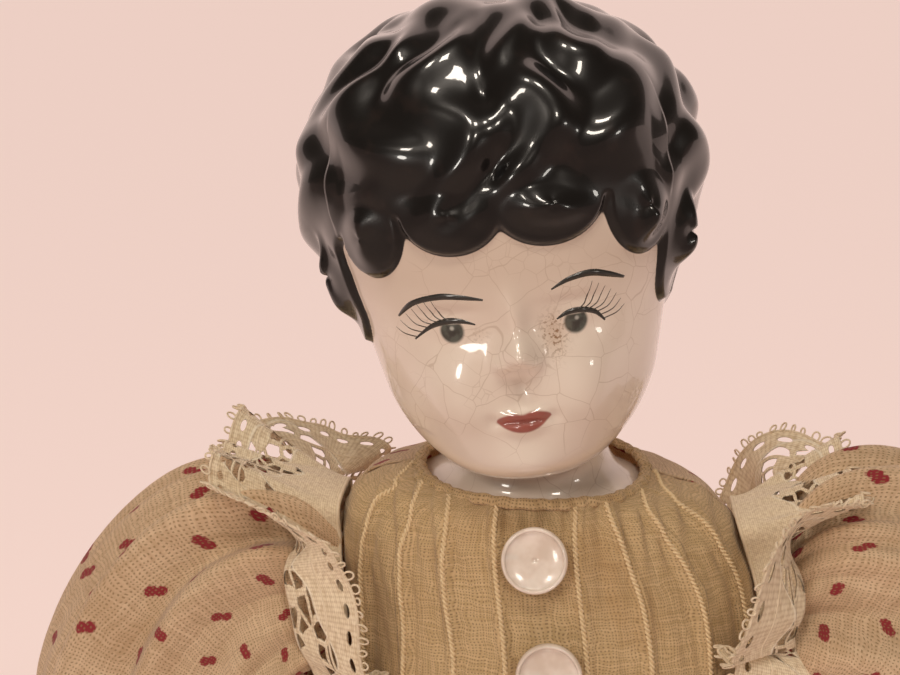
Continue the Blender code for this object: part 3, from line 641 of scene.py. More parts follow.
def lace_material():
    """Cream lace: dense cloth-stitch figures, open net with round holes and an eyelet row by the edge."""
    n = Nodes("cream_lace_net")
    spot, u, v = n.weave_place()
    bent = n.wobble(spot, 0.3, (1.6, 1.6, 0.0))
    cells = n.cell_edge(bent, 0.52, 0.9, "2D")
    cell_key = n.node("TexVoronoi", {"Vector": bent, "Scale": 0.52, "Randomness": 0.9},
                      voronoi_dimensions="2D").outputs["Color"]
    kept = n.step(n.parts(cell_key)[0], 0.62, 0.64, 1.0, 0.0)
    phase = u * (2.0 * math.pi / 11.5)
    scallop = n.sine(phase) * 2.3 + n.sine(phase * 2.0) * 1.0
    band = n.math("ABSOLUTE", v - 13.6 - scallop)
    open_net = n.step(band, 3.3, 3.7, 1.0, 0.0)
    hole = n.step(cells, 0.10, 0.15) * kept * open_net
    eyelet = n.length((n.math("FRACT", u / 1.7) - 0.5) * 1.7, v - n.attribute("edge_row"))
    hole = n.math("MAXIMUM", hole, n.step(eyelet, 0.42, 0.5, 1.0, 0.0))
    across, along = n.threads(u, v, 0.34)
    stitch = across + along
    rim = n.step(n.math("ABSOLUTE", band - 3.6), 0.0, 0.4, 1.0, 0.0)
    tangle = n.noise(spot, 1.6, 3.0)
    tone = n.step(stitch * 0.16 + tangle * 0.75, 0.35, 0.8)
    base = n.mix(tone, colour(0.62, 0.48, 0.31), colour(0.90, 0.78, 0.58))
    base = n.mix(rim * 0.7, base, colour(0.93, 0.84, 0.67))
    thread = (1.0 - n.step(cells, 0.0, 0.14)) * open_net
    height = stitch * 0.22 + (rim * 1.1 + thread * 0.8) + tangle * 0.8
    n.look(Base_Color=base, Roughness=0.8, Specular_IOR_Level=0.2, Sheen_Weight=0.2, Alpha=1.0 - hole,
           Normal=n.bump(height, 0.8, 0.00016))
    return n.material


def thread_material(name, light, dark):
    """Twisted cotton thread."""
    n = Nodes(name)
    shade = n.mix(n.noise(n.place(), 700.0, 2.0), colour(*dark), colour(*light))
    n.look(Base_Color=shade, Roughness=0.75, Specular_IOR_Level=0.25, Sheen_Weight=0.2)
    return n.material


def pearl_material():
    """Mother-of-pearl: milky, softly banded and glossy."""
    n = Nodes("mother_of_pearl")
    place = n.place()
    band = n.step(n.noise(place, 190.0, 3.0, 0.6), 0.35, 0.65)
    base = n.mix(band, colour(0.74, 0.62, 0.52), colour(0.90, 0.80, 0.71))
    tint = n.step(n.noise(place, 330.0, 1.0), 0.55, 0.75, 0.0, 0.25)
    base = n.mix(tint, base, colour(0.72, 0.78, 0.74))
    n.look(Base_Color=base, Roughness=0.22, Specular_IOR_Level=0.6, Coat_Weight=0.6, Coat_Roughness=0.1,
           Subsurface_Weight=0.12, Subsurface_Radius=(0.002, 0.0015, 0.0012))
    return n.material


# ---------------------------------------------------------------- head surface
def head_base(angle, row):
    """Bald head surface before relief; angle is from the front, row counts down the profiles."""
    cos, sin = np.cos(angle), np.sin(angle)
    front = cos > 0.0
    share = cos ** 2
    face = np.where(front[..., None], curve(FRONT_PROFILE, row), curve(BACK_PROFILE, row))
    side = curve(SIDE_PROFILE, row)
    z = face[..., 0] * share + side[..., 0] * (1.0 - share)
    power = 2.0 + 0.3 * smooth(cos * 2.0)
    across = np.abs(sin) / np.maximum(side[..., 1], 0.01)
    ahead = np.abs(cos) / np.maximum(face[..., 1], 0.01)
    radius = (across ** power + ahead ** power) ** (-1.0 / power)
    return np.stack([radius * sin, -radius * cos, z], axis=-1)


def hair_gap(x, z):
    """Distance from the painted hair edge in millimetres, negative inside the hair."""
    line = np.interp(np.abs(x), [p[0] for p in HAIR_LINE], [p[1] for p in HAIR_LINE])
    sharpness = 0.45
    total = np.exp(-(line - z) * np.where(np.abs(x) > 24.0, 0.55, 1.0) / sharpness)
    for cx, cz, wide, high, tilt in HAIR_LOCKS:
        t = math.radians(tilt)
        u = (x - cx) * math.cos(t) + (z - cz) * math.sin(t)
        v = (z - cz) * math.cos(t) - (x - cx) * math.sin(t)
        near = np.sqrt((u / wide) ** 2 + (v / high) ** 2)
        slope = np.sqrt((u / wide ** 2) ** 2 + (v / high ** 2) ** 2)
        total += np.exp(-near * (near - 1.0) / np.maximum(slope, 1e-4) / sharpness)
    return -sharpness * np.log(np.maximum(total, 1e-12))


def face_relief(x, z):
    """How far the features stand out of the face."""
    side = np.abs(x)
    mouth_x, mouth_z = x - MOUTH[0], z - MOUTH[1]
    # nose tip, bridge and wings, then the groove below the nose
    relief = 3.2 * bump(x, z, 0.3, 20.3, 2.4, 2.4) + 1.5 * bump(x, z, 0.2, 25.0, 1.8, 4.0)
    relief += 0.9 * bump(side, z, 2.3, 18.9, 1.2, 1.2) - 0.5 * bump(x, z, 0.3, 15.6, 1.0, 1.5)
    # upper lip, lower lip, the line between them and the corners
    relief += 1.15 * bump(mouth_x, mouth_z, 0.0, 0.9, 3.2, 1.15) + bump(mouth_x, mouth_z, 0.0, -1.3, 2.7, 1.1)
    relief -= 0.45 * np.exp(-((mouth_z + 0.12 + 0.02 * mouth_x ** 2) / 0.35) ** 2 - (mouth_x / 3.3) ** 4)
    relief -= 0.5 * bump(np.abs(mouth_x), mouth_z, 4.4, 0.1, 1.1, 1.2)
    # chin and cheeks
    relief += 1.2 * bump(x, z, 0.3, 3.4, 5.0, 2.9)
    relief += 1.5 * bump(side, z, 9.6, 13.4, 5.4, 5.2) + 0.4 * bump(side, z, 9.6, 17.9, 4.0, 3.0)
    # eye hollows, eyeballs and the crease above them
    relief -= 0.7 * bump(side, z, 8.9, 24.4, 4.2, 2.6)
    relief += 0.75 * bump(side, z, 9.0, 24.4, 2.6, 1.6)
    return relief - 0.35 * bump(side, z, 9.4, 27.2, 4.4, 0.9)


def ridge(phase):
    """Rounded crests with narrower valleys, from -1 to 1."""
    return 2.0 * np.abs(np.sin(phase / 2.0)) ** 1.8 - 1.0


def hair_waves(base):
    """Moulded waves: winding locks that run down from the crown, crossed by curls, and a centre parting."""
    x, y, z = base[..., 0], base[..., 1], base[..., 2]
    turn = np.arctan2(x, -y)
    out = np.hypot(x, y)
    down = 31.0 * np.arctan2(out, z - 34.0)
    winding = 1.7 * np.sin(down * 0.36 + 2.0 * turn) + 0.8 * np.sin(down * 0.19 + 5.0 * turn)
    locks = ridge(13.0 * turn + winding)
    curls = ridge(down * 0.52 + 1.5 * np.sin(6.0 * turn + 0.6) + 0.7 * np.sin(11.0 * turn + down * 0.2))
    crown = np.sin(x * 0.42 + 0.8) * np.sin(y * 0.40 + 0.5)
    wide = smooth((out - 9.0) / 9.0)
    parting = np.exp(-((x + 0.4) / 1.5) ** 2) * smooth((-y - 6.0) / 6.0)
    return (0.55 * locks + 0.45 * curls) * wide + 0.8 * crown * (1.0 - wide) - 0.55 * parting


def head_shape(angle, row):
    """Finished head surface in its own frame and the arc place (x, z) on the face."""
    base = head_base(angle, row)
    x = angle * FACE_RADIUS
    z = base[..., 2]
    gap = hair_gap(x, z)
    hair = smooth(-gap / 0.9)
    relief = face_relief(x, z) * smooth((np.radians(75.0) - np.abs(angle)) / 0.5)
    height = relief * (1.0 - hair)
    if (hair > 0.0).any():
        # a step at the hairline, the swell of the mass of hair and its waves
        height = height + 0.95 * hair + smooth(-gap / 10.0) * 1.8
        height = height + smooth(-gap / 6.0) * 1.05 * hair_waves(base)
    centre = np.stack([np.zeros_like(z), np.zeros_like(z), np.minimum(z, 38.0)], axis=-1)
    return base + unit(base - centre) * height[..., None], x, z, gap


def lean(points):
    """Turn and lean head points about the neck, and set them in the frame."""
    x, y, z = points[..., 0], points[..., 1], points[..., 2]
    low, high = NECK_BLEND
    t = smooth((z - low) / (high - low))
    turn, tip = math.radians(HEAD_TURN) * t, math.radians(HEAD_LEAN) * t
    x, y = x * np.cos(turn) - y * np.sin(turn), x * np.sin(turn) + y * np.cos(turn)
    up = z - HEAD_PIVOT_Z
    x, up = x * np.cos(tip) + up * np.sin(tip), up * np.cos(tip) - x * np.sin(tip)
    return swayed(np.stack([x, y, CHIN_Z + HEAD_PIVOT_Z + up], axis=-1))


def row_at(angle, z):
    """Profile row whose height on the bald head is z."""
    rows = np.linspace(2.0, 13.0, 600)
    return np.array([np.interp(-height, -head_base(np.full(600, a), rows)[:, 2], rows)
                     for a, height in zip(angle, z)])


def on_face(x, z):
    """Surface points for arc places on the face."""
    angle = np.asarray(x, float) / FACE_RADIUS
    return lean(head_shape(angle, row_at(angle, np.asarray(z, float)))[0])


def lip_gap(x, z):
    """Distance from the painted lips, negative inside."""
    t = math.radians(3.0)
    u = (x - MOUTH[0]) * math.cos(t) + (z - MOUTH[1]) * math.sin(t)
    v = (z - MOUTH[1]) * math.cos(t) - (x - MOUTH[0]) * math.sin(t)
    share = np.clip(np.abs(u) / 4.1, 0.0, 1.2)
    top = 1.5 * np.sqrt(np.clip(1.0 - share ** 2, 0.0, 1.0)) - 0.35 * np.exp(-(u / 0.9) ** 2)
    bottom = -1.9 * np.clip(1.0 - share ** 2.0, 0.0, 1.0)
    return np.maximum(np.maximum(v - top, bottom - v), np.abs(u) - 4.1)


def painted_values(x, z, gap):
    """Numbers the paint is made from."""
    x_span = np.where(np.abs(x) < 30.0, x, 99.0)
    iris, glint = np.full_like(x, 9.0), np.full_like(x, 9.0)
    for cx, cz in EYES:
        far = np.hypot(x_span - cx, z - cz)
        lid = z - (cz + 1.25)
        iris = np.minimum(iris, np.maximum(far - IRIS_RADIUS, lid))
        glint = np.minimum(glint, np.hypot(x_span - cx - 0.1, z - cz - 0.5) - 0.12)
    dust = 1.1 * bump(x_span, z, 5.6, 22.6, 1.6, 2.6) + 0.35 * bump(x_span, z, -4.9, 23.2, 1.2, 1.2)
    # painted shade: darker under the nose and beside the mouth, and growing darker from the eyes up to the
    # hairline
    shade = 0.30 * bump(x_span, z, -0.4, 16.4, 2.6, 0.9) + 0.10 * bump(np.abs(x_span), z, 6.8, 10.6, 2.2, 2.4)
    shade += 0.28 * smooth((z - 24.0) / 9.0)
    return {"hair_gap": gap, "lip_gap": lip_gap(x_span, z), "iris_gap": iris, "glint_gap": glint,
            "dust": np.clip(dust, 0.0, 1.0), "shade": shade}


def build_head():
    """The china casting: painted head, neck and shoulder plate, open below."""
    even = np.linspace(-np.pi, np.pi, fine(480), endpoint=False)
    # columns crowd towards the face, and rows are sparse only below the chin
    angles = even - 0.45 * np.sin(even)
    rows = np.concatenate([np.linspace(0.03, 4.0, fine(112), endpoint=False),
                           np.linspace(4.0, 12.2, fine(186), endpoint=False),
                           np.linspace(12.2, 20.0, fine(44))])
    points, x, z, gap = head_shape(*np.meshgrid(angles, rows))
    inner = head_base(*np.meshgrid(angles, [19.95, 18.6, 17.6, 15.4]))
    inner = lean(inner - PLATE_THICKNESS * level_out(inner))
    gather = Gather()
    gather.add_rings(np.concatenate([lean(points), inner]))
    head = gather.piece("china_head", head_material())
    # the inside of the plate is bare, and the point of the crown is painted like the row round it
    values = {}
    for key, data in painted_values(x, z, gap).items():
        bare = np.full(inner[..., 0].size + 2, 9.0 if "gap" in key else 0.0)
        bare[-2] = data[0, 0]
        values[key] = np.concatenate([data.ravel(), bare])
    store_values(head.data, values)
    place(head, "torso", "glazed_china", "shoulder_head")


def add_stroke(gather, guide, widths, count=28):
    """A brush stroke lying on the face through guide points (x, z), with a width at each."""
    t = np.linspace(0.0, len(guide) - 1.0, count)
    line, wide = curve(guide, t), curve(widths, t)
    run = unit(np.gradient(line, axis=0))
    across = np.stack([-run[:, 1], run[:, 0]], 1) * wide[:, None] / 2.0
    middle = on_face(line[:, 0], line[:, 1])
    left = on_face(*(line + across).T)
    right = on_face(*(line - across).T)
    out = unit(np.cross(left - right, np.gradient(middle, axis=0)))
    flip = np.sign((out * unit(middle - np.array([0.0, 0.0, CHIN_Z + 25.0]))).sum(1, keepdims=True))
    out = out * flip
    rings = np.stack([left - out * 0.012, middle + out * 0.035, right - out * 0.012, middle - out * 0.06], 1)
    gather.add_rings(rings)


BROWS = [
    ([(-16.9, 26.6), (-13.9, 28.7), (-9.9, 29.6), (-6.8, 29.4), (-3.7, 28.8)], [0.4, 1.3, 1.6, 1.2, 0.4]),
    ([(5.7, 29.2), (8.1, 30.3), (11.1, 30.7), (13.9, 29.9), (16.4, 28.9)], [0.3, 1.0, 1.35, 1.15, 0.5]),
]
LIDS = [
    ([(-15.0, 23.1), (-12.3, 24.9), (-9.8, 25.8), (-7.6, 25.8), (-5.4, 25.1)], [0.35, 0.8, 1.2, 1.0, 0.3]),
    ([(6.3, 24.6), (8.0, 25.4), (10.0, 25.4), (12.1, 24.6), (13.5, 23.1)], [0.3, 0.95, 1.15, 0.85, 0.4]),
]


def build_brushwork():
    """Brows, upper lids and lashes as fine brush strokes on the glaze."""
    black, brown = Gather(), Gather()
    for guide, widths in BROWS + LIDS:
        add_stroke(black, guide, widths, 36)
    for guide, widths in LIDS:
        side = math.copysign(1.0, guide[2][0])
        outer = 0.0 if side < 0 else 4.0
        for k in range(7):
            t = abs(outer - (0.25 + 0.36 * k))
            start = curve(guide, np.array([t]))[0]
            reach = 3.6 - 0.22 * k
            rise = 1.3 + 0.44 * k
            middle = (start[0] + side * reach * 0.62, start[1] + rise * 0.20 + 0.15)
            end = (start[0] + side * reach, start[1] + rise)
            add_stroke(brown, [tuple(start), middle, end], [0.26, 0.24, 0.10], 14)
    for name, gather, tone in (("brow_and_lid_strokes", black, (0.010, 0.009, 0.007)),
                               ("lash_strokes", brown, (0.030, 0.022, 0.013))):
        ink = ink_material("black_ink" if gather is black else "brown_ink", tone)
        place(gather.piece(name, ink), "torso", "glazed_china")


# ---------------------------------------------------------------- bodice
BODICE_LOW, BODICE_HIGH = node_box("bodice_front")
BACK_DEPTH = node_box("bodice_back_left")[1][1]
# the cloth neckline settles this far below the stiff pattern's edge
NECKLINE_Z = BODICE_HIGH[2] - 1.7


def bodice_row(z):
    """Half width, front depth and back depth of the bodice at a height."""
    share = (np.asarray(z, float) - BODICE_LOW[2]) / (BODICE_HIGH[2] - BODICE_LOW[2])
    marks = [p[0] for p in BODICE_SHAPE]
    position = np.interp(share, marks, np.arange(len(marks)))
    table = [(p[1], p[2], p[3]) for p in BODICE_SHAPE]
    return curve(table, position) * np.array([BODICE_HIGH[0], -BODICE_LOW[1], BACK_DEPTH])


def bodice_point(angle, z):
    """Bodice surface at an angle in radians, 270 degrees being the front."""
    width, front, back = np.moveaxis(bodice_row(z), -1, 0)
    c, s = np.cos(angle), np.sin(angle)
    depth = np.where(s < 0.0, front, back)
    x = width * np.sign(c) * np.abs(c) ** (2.0 / BODY_POWER)
    y = depth * np.sign(s) * np.abs(s) ** (2.0 / BODY_POWER)
    return np.stack([x, y, z + np.zeros_like(x)], axis=-1)


def bodice_y(x, z, front=True):
    """Depth of the bodice surface at a width and height."""
    width, ahead, behind = np.moveaxis(bodice_row(z), -1, 0)
    inside = np.clip(1.0 - np.abs(x / width) ** BODY_POWER, 0.0, 1.0) ** (1.0 / BODY_POWER)
    return -ahead * inside if front else behind * inside


def cord_x(cord, z):
    """Where a corded tuck runs at a height."""
    chest, neck = cord
    waist = chest * 0.74
    top = BODICE_HIGH[2]
    heights = [BODICE_LOW[2], top - 62.0, top - 30.0, top - 15.0, top - 8.0, top - 2.0, top]
    wanted = [waist, chest * 0.97] + [neck + (chest - neck) * share for share in (1.0, 0.9, 0.55, 0.0, -0.25)]
    limit = 0.94 * bodice_row(z)[..., 0]
    return np.clip(np.interp(z, heights, wanted), -limit, limit)


def bodice_folds(x, z):
    """Soft folds and the ridges of the tucks, outward."""
    top = BODICE_HIGH[2]
    gathered = smooth((z - top + 18.0) / 14.0)
    height = 0.40 * waves(x * 0.22, z * 0.05, 1.0)
    height += 0.34 * gathered * np.sin(x * 1.7 + 1.2 * np.sin(x * 0.35))
    height += 0.3 * waves(x * 0.5 + 3.0, z * 0.12, 2.0) * (1.0 - 0.5 * gathered)
    for cord in CORDS:
        inward = (x - cord_x(cord, z)) * (1.0 if cord[0] < 0 else -1.0)
        step = smooth((inward + 1.5) / 0.5) * smooth((0.9 - inward) / 0.5)
        height += 0.5 * step - 0.2 * np.exp(-((inward - 1.3) / 0.5) ** 2)
    return height


def build_bodice(voile, dotted):
    """Front of plain voile with corded tucks, and two dotted back panels that meet behind."""
    tall = NECKLINE_Z - BODICE_LOW[2]
    # rows of the cloth, and points of the cords, crowd towards the neckline
    z = BODICE_LOW[2] + tall * (1.0 - (1.0 - np.linspace(0.0, 1.0, fine(240))) ** 1.5)
    spans = {"bodice_front": (181.0, 359.0, 270), "bodice_back_left": (1.0, 89.4, 110),
             "bodice_back_right": (90.6, 179.0, 110)}
    for name, (start, end, count) in spans.items():
        front = name == "bodice_front"
        points = bodice_point(*np.meshgrid(np.radians(np.linspace(start, end, fine(count))), z))
        x, height = points[..., 0], points[..., 2]
        lift = bodice_folds(x, height) if front else 0.4 * waves(x * 0.3, height * 0.08, 3.0)
        points = swayed(points + level_out(points) * (lift[..., None] - 0.35))
        piece = cloth(f"{name}_cloth", points, 0.4, voile if front else dotted)
        place(piece, "torso", "cream_voile", *((name, "placket") if front else (name,)))
    paths = []
    height = NECKLINE_Z - 0.2 - (tall - 0.7) * np.linspace(1.0, 0.0, 200) ** 1.3
    for cord in CORDS:
        x = np.convolve(np.pad(cord_x(cord, height), 8, mode="edge"), np.ones(17) / 17.0, mode="valid")
        surface = np.stack([x, bodice_y(x, height), height], 1)
        paths.append(swayed(surface + level_out(surface) * (bodice_folds(x, height) + 0.05)[:, None]))
    yarn = thread_material("cream_cord", (0.88, 0.71, 0.45), (0.66, 0.48, 0.26))
    place(cord_piece("bodice_cords", yarn, paths, 0.46, 1.55), "torso", "cream_voile")
    build_neck_binding(voile)
    build_band("waistband", voile, "cream_voile")
    build_band("petticoat_band", voile, "white_cotton")


def build_neck_binding(material):
    """Narrow rolled edge of the neckline, pulled into small gathers."""
    angle, turn = np.meshgrid(circle(720), np.linspace(-0.9, 3.3, 9))
    points = bodice_point(angle, np.full_like(angle, NECKLINE_Z))
    puckers = 0.16 * np.sin(angle * 47.0 + 1.4 * np.sin(angle * 5.0)) + 0.12 * np.sin(angle * 31.0 + turn)
    rise = 0.25 * waves(angle * 3.0, angle * 0.0, 2.0)
    points = points + level_out(points) * (0.75 * np.cos(turn) - 0.1 + puckers)[..., None]
    points[..., 2] += 0.75 * np.sin(turn) - 0.2 + rise
    binding = cloth("neck_binding_cloth", swayed(points), 0.4, material, True)
    place(binding, "torso", "cream_voile", "neck_binding")


def build_band(node, material, slot_name):
    """A folded cloth band round the body, following its CAD box."""
    middle, half = node_middle(node)
    angle, share = np.meshgrid(circle(240), np.linspace(-1.0, 1.0, 9))
    swell = 0.25 * np.cos(share * 1.4) - 0.4 + 0.10 * np.sin(angle * 41.0 + 2.0 * share)
    points = middle + np.stack([(half[0] + swell) * np.cos(angle), (half[1] + swell) * np.sin(angle),
                                half[2] * share], axis=-1)
    place(cloth(f"{node}_cloth", points[:, ::-1], 0.5, material, True), "torso", slot_name, node)


# ---------------------------------------------------------------- buttons
# section of a button from the middle of its back round to the middle of its dish: (radius, height) as shares
BUTTON_PROFILE = [
    (0.0, -0.5), (0.84, -0.5), (0.97, -0.32), (1.0, -0.05), (1.0, 0.22), (0.975, 0.42), (0.93, 0.5),
    (0.885, 0.44), (0.86, 0.26), (0.8, 0.16), (0.6, 0.02), (0.35, -0.06), (0.12, -0.09), (0.05, -0.16),
    (0.0, -0.2),
]


def build_buttons():
    """Dished pearl buttons with a raised rim, each where its CAD disc is."""
    pearl = pearl_material()
    front = [(f"button_{k}", 5.0, 2.0) for k in range(1, 6)]
    back = [(f"back_button_{k}", 2.6, 1.3) for k in range(1, 4)]
    for name, radius, thick in front + back:
        points = node_points(name)
        middle = (points.max(axis=0) + points.min(axis=0)) / 2.0
        spread = np.linalg.svd(points - points.mean(axis=0), full_matrices=False)[2]
        axis = spread[2] * np.sign(spread[2][1] * middle[1])
        shape = curve(BUTTON_PROFILE, np.linspace(0.0, len(BUTTON_PROFILE) - 1.0, 60))[1:-1]
        angle = circle(72)
        rim = np.abs(shape[:, :1]) * radius
        gather = Gather()
        gather.add_rings(middle + axis * (shape[:, 1:] * thick)[..., None]
                         + RIGHTWARD * (rim * np.cos(angle))[..., None]
                         + np.cross(axis, RIGHTWARD) * (rim * np.sin(angle))[..., None])
        place(gather.piece(f"pearl_{name}", pearl), "torso", "pearl_shell", name)


# ---------------------------------------------------------------- sleeves
# how high each sleeve puffs from the armhole to the band: the right one droops wide, the left one stands
SLEEVE_CROWN = [(13.2, 19.5, 24.5, 29.0, 37.5, 36.0, 25.0), (13.2, 25.0, 31.5, 36.5, 39.5, 36.0, 25.0)]


def sleeve_stations(side):
    """Sleeve cross-sections of one arm: centre x and z, slope, half sizes up, ahead and down."""
    pivot = np.array(JOINTS["shoulder_left"]["pos_m"]) / MM
    elbow = np.array(JOINTS["elbow_left"]["pos_m"]) / MM
    crown = SLEEVE_CROWN[side > 0]
    rows = [
        ((pivot[0] - 0.6, pivot[2]), 0.0, crown[0], 13.0, 12.6),
        ((38.0, pivot[2]), 9.0, crown[1], 16.5, 13.6),
        ((42.0, pivot[2] - 1.0), 25.0, crown[2], 19.4, 14.0),
        ((47.0, pivot[2] - 5.0), 45.0, crown[3], 23.0, 14.2),
    ]
    for above, up, ahead, low in ((40.0, crown[4], 25.4, 14.0), (28.0, crown[5], 24.0, 14.8),
                                  (18.0, crown[6], 18.0, 12.6), (11.2, 10.6, 10.5, 10.4)):
        spot = (elbow[0] - math.sin(ARM_SPREAD) * above, elbow[2] + math.cos(ARM_SPREAD) * above)
        rows.append((spot, 90.0 - math.degrees(ARM_SPREAD), up, ahead, low))
    return rows


def sleeve_points(side, columns, rows):
    """Grid of the puffed sleeve with gathers at both ends and soft falling folds between."""
    stations = sleeve_stations(side)
    t = np.linspace(0.0, len(stations) - 1.0, rows)
    centre = curve([s[0] for s in stations], t)
    slope = np.radians(curve([s[1] for s in stations], t))
    up, ahead, low = curve([s[2:] for s in stations], t).T
    a, share = np.meshgrid(circle(columns), t / t[-1])
    upper = smooth((np.cos(a) + 0.25) / 0.5)
    width = up[:, None] * upper + low[:, None] * (1.0 - upper)
    seed = 1.7 if side > 0 else 4.2
    tight = np.exp(-share / 0.20) + np.exp(-(1.0 - share) / 0.12)
    gather = np.abs(np.sin(a * 12.0 + 1.6 * np.sin(a * 3.0 + seed) + 1.2 * share)) * 2.9 * tight
    wander = a + 0.45 * np.sin(share * 2.6 + seed)
    near = smooth((0.75 - share) / 0.55)
    loose = (2.5 * ridge(wander * 9.0 + seed + 1.4 * np.sin(share * 4.0 + 2.0 * a)) * (0.35 + near)
             + 1.5 * np.sin(wander * 15.0 - seed + 2.5 * share) * (0.3 + near)
             + 0.5 * np.sin(wander * 26.0 + 3.0 * share + seed)
             + 1.2 * np.sin(share * 9.0 + 3.0 * a + seed) * (1.0 - near))
    body = np.sin(np.pi * np.clip(share, 0.0, 1.0)) ** 0.6
    swell = gather - 2.0 * tight + loose * body * 0.8
    w = (width + swell) * np.cos(a)
    x = centre[:, :1] + np.sin(slope)[:, None] * w
    z = centre[:, 1:] + np.cos(slope)[:, None] * w
    y = (ahead[:, None] + swell) * np.sin(a)
    x = np.maximum(x, 35.05)
    grid = np.stack([x * side, y, z], axis=-1)
    return grid[:, ::-1] if side > 0 else grid


def build_sleeves(voile, band_cloth):
    """Puffed dotted sleeves and the bands that hold them above the elbows."""
    for name, side in SIDES.items():
        points = sleeve_points(side, fine(420), fine(190))
        sleeve = cloth(f"sleeve_{name}_voile", points, 0.3, voile, True, even_uv(points, True, SLEEVE_GIRTH))
        place(sleeve, f"arm_{name}", "dotted_voile", f"sleeve_{name}")
        down, across = arm_axes(side, ARM_SPREAD)
        angle, along = np.meshgrid(circle(160), np.linspace(-1.9, 1.9, 9))
        radius = 10.1 + 0.18 * np.cos(along) + 0.06 * np.sin(angle * 25.0)
        points = (node_middle(f"sleeve_band_{name}")[0] + down * along[..., None]
                  + across * (radius * np.cos(angle))[..., None]
                  - FORWARD * (radius * np.sin(angle))[..., None])
        points = points[:, ::-1] if side < 0 else points
        band = cloth(f"sleeve_band_{name}_cloth", points, 0.6, band_cloth, True)
        place(band, f"arm_{name}", "cream_voile", f"sleeve_band_{name}")


# ---------------------------------------------------------------- lace
LACE_WIDTH = 20.5
LACE_GATHER = 1.3
PICOT_PITCH = 2.1


def lace_spine(side):
    """Sewn edge of the ruffle by the armhole, front waist to back waist, with its outward and facing ways."""
    below_chin = np.array([-91.5, -84.0, -75.0, -60.0, -46.0, -34.0, -25.0, -18.5])
    heights = CHIN_Z + below_chin
    sewn = np.minimum([20.0, 23.8, 27.0, 30.0, 32.4, 33.4, 33.2, 32.4], 0.975 * bodice_row(heights)[:, 0])
    front_y = bodice_y(sewn, heights) - 0.6
    back_y = bodice_y(sewn, heights, False) + 0.6
    top = [(31.6, -6.0, CHIN_Z - 13.4), (31.4, 0.0, CHIN_Z - 12.4), (31.6, 6.0, CHIN_Z - 13.4)]
    points = list(zip(sewn, front_y, heights)) + top + list(zip(sewn[::-1], back_y[::-1], heights[::-1]))
    up = smooth((below_chin + 34.0) / 20.0)
    facing = [(0.0, -1.0 + 0.45 * u, 0.85 * u) for u in up]
    behind = [(x, -y, z) for x, y, z in facing[::-1]]
    facing += [(0.0, -0.35, 1.0), (0.0, 0.0, 1.0), (0.0, 0.35, 1.0)] + behind
    # the free edge turns in over the bodice in front and behind, and stands up and outward on the shoulder
    turn = 171.0 - 145.0 * smooth((below_chin + 29.0) / 14.0)
    turn = np.concatenate([turn, [24.0, 14.0, 24.0], turn[::-1]])
    narrow = 0.5 + 0.5 * smooth((below_chin + 95.0) / 30.0)
    narrow = np.concatenate([narrow, np.ones(3), narrow[::-1]])
    return np.array(points) * [side, 1.0, 1.0], unit(np.array(facing)), np.stack([turn, narrow], axis=1)


def lace_points(side, columns, rows):
    """Grid of the gathered ruffle: rows run from the sewn edge to the free edge."""
    spine, facing, turn = lace_spine(side)
    steps = distances(spine)
    along = np.linspace(0.0, steps[-1], columns)
    t = np.interp(along, steps, np.arange(len(spine)))
    base, face = curve(spine, t), unit(curve(facing, t))
    end, narrow = curve(turn, t).T
    tangent = unit(np.gradient(base, axis=0))
    outward = unit(side * (RIGHTWARD - tangent * tangent[:, :1]))
    seed = 0.4 if side > 0 else 2.9
    phase = 2.0 * np.pi * along / 14.5 + seed + 0.7 * np.sin(along * 0.09 + seed)
    flat = smooth((end - 40.0) / 120.0)
    end = end + 5.0 * np.sin(phase) + 3.0 * np.sin(2.3 * phase + seed)
    share = np.linspace(0.0, 1.0, rows)[:, None]
    v = share * (LACE_WIDTH + 4.0 * flat) * narrow
    start = 16.0 + 44.0 * flat
    angle = np.radians(start + (end - start) * smooth((v - 1.5 - 8.5 * flat * narrow) / 4.5))
    step = v[1] - v[0]
    reach = np.cumsum(np.cos(angle), axis=0) * step
    lift = np.cumsum(np.sin(angle), axis=0) * step
    drift = (1.6 + 3.2 * flat) * np.sin(phase) * share ** 1.2
    ripple = 0.3 * np.sin(4.7 * phase + 3.0 * share) * share + 2.0 * flat * np.cos(phase) * share
    swing = 1.5 * np.sin(phase + 0.8) * smooth(share * 3.0) + 0.5 * np.sin(3.1 * phase) * share
    reach = reach + swing * flat
    grid = base + outward * reach[..., None] + face * (lift + ripple)[..., None] + tangent * drift[..., None]
    normal = unit(np.cross(tangent, outward)) * side
    return swayed(grid), np.stack([np.broadcast_to(along * LACE_GATHER, v.shape), v], axis=-1), normal


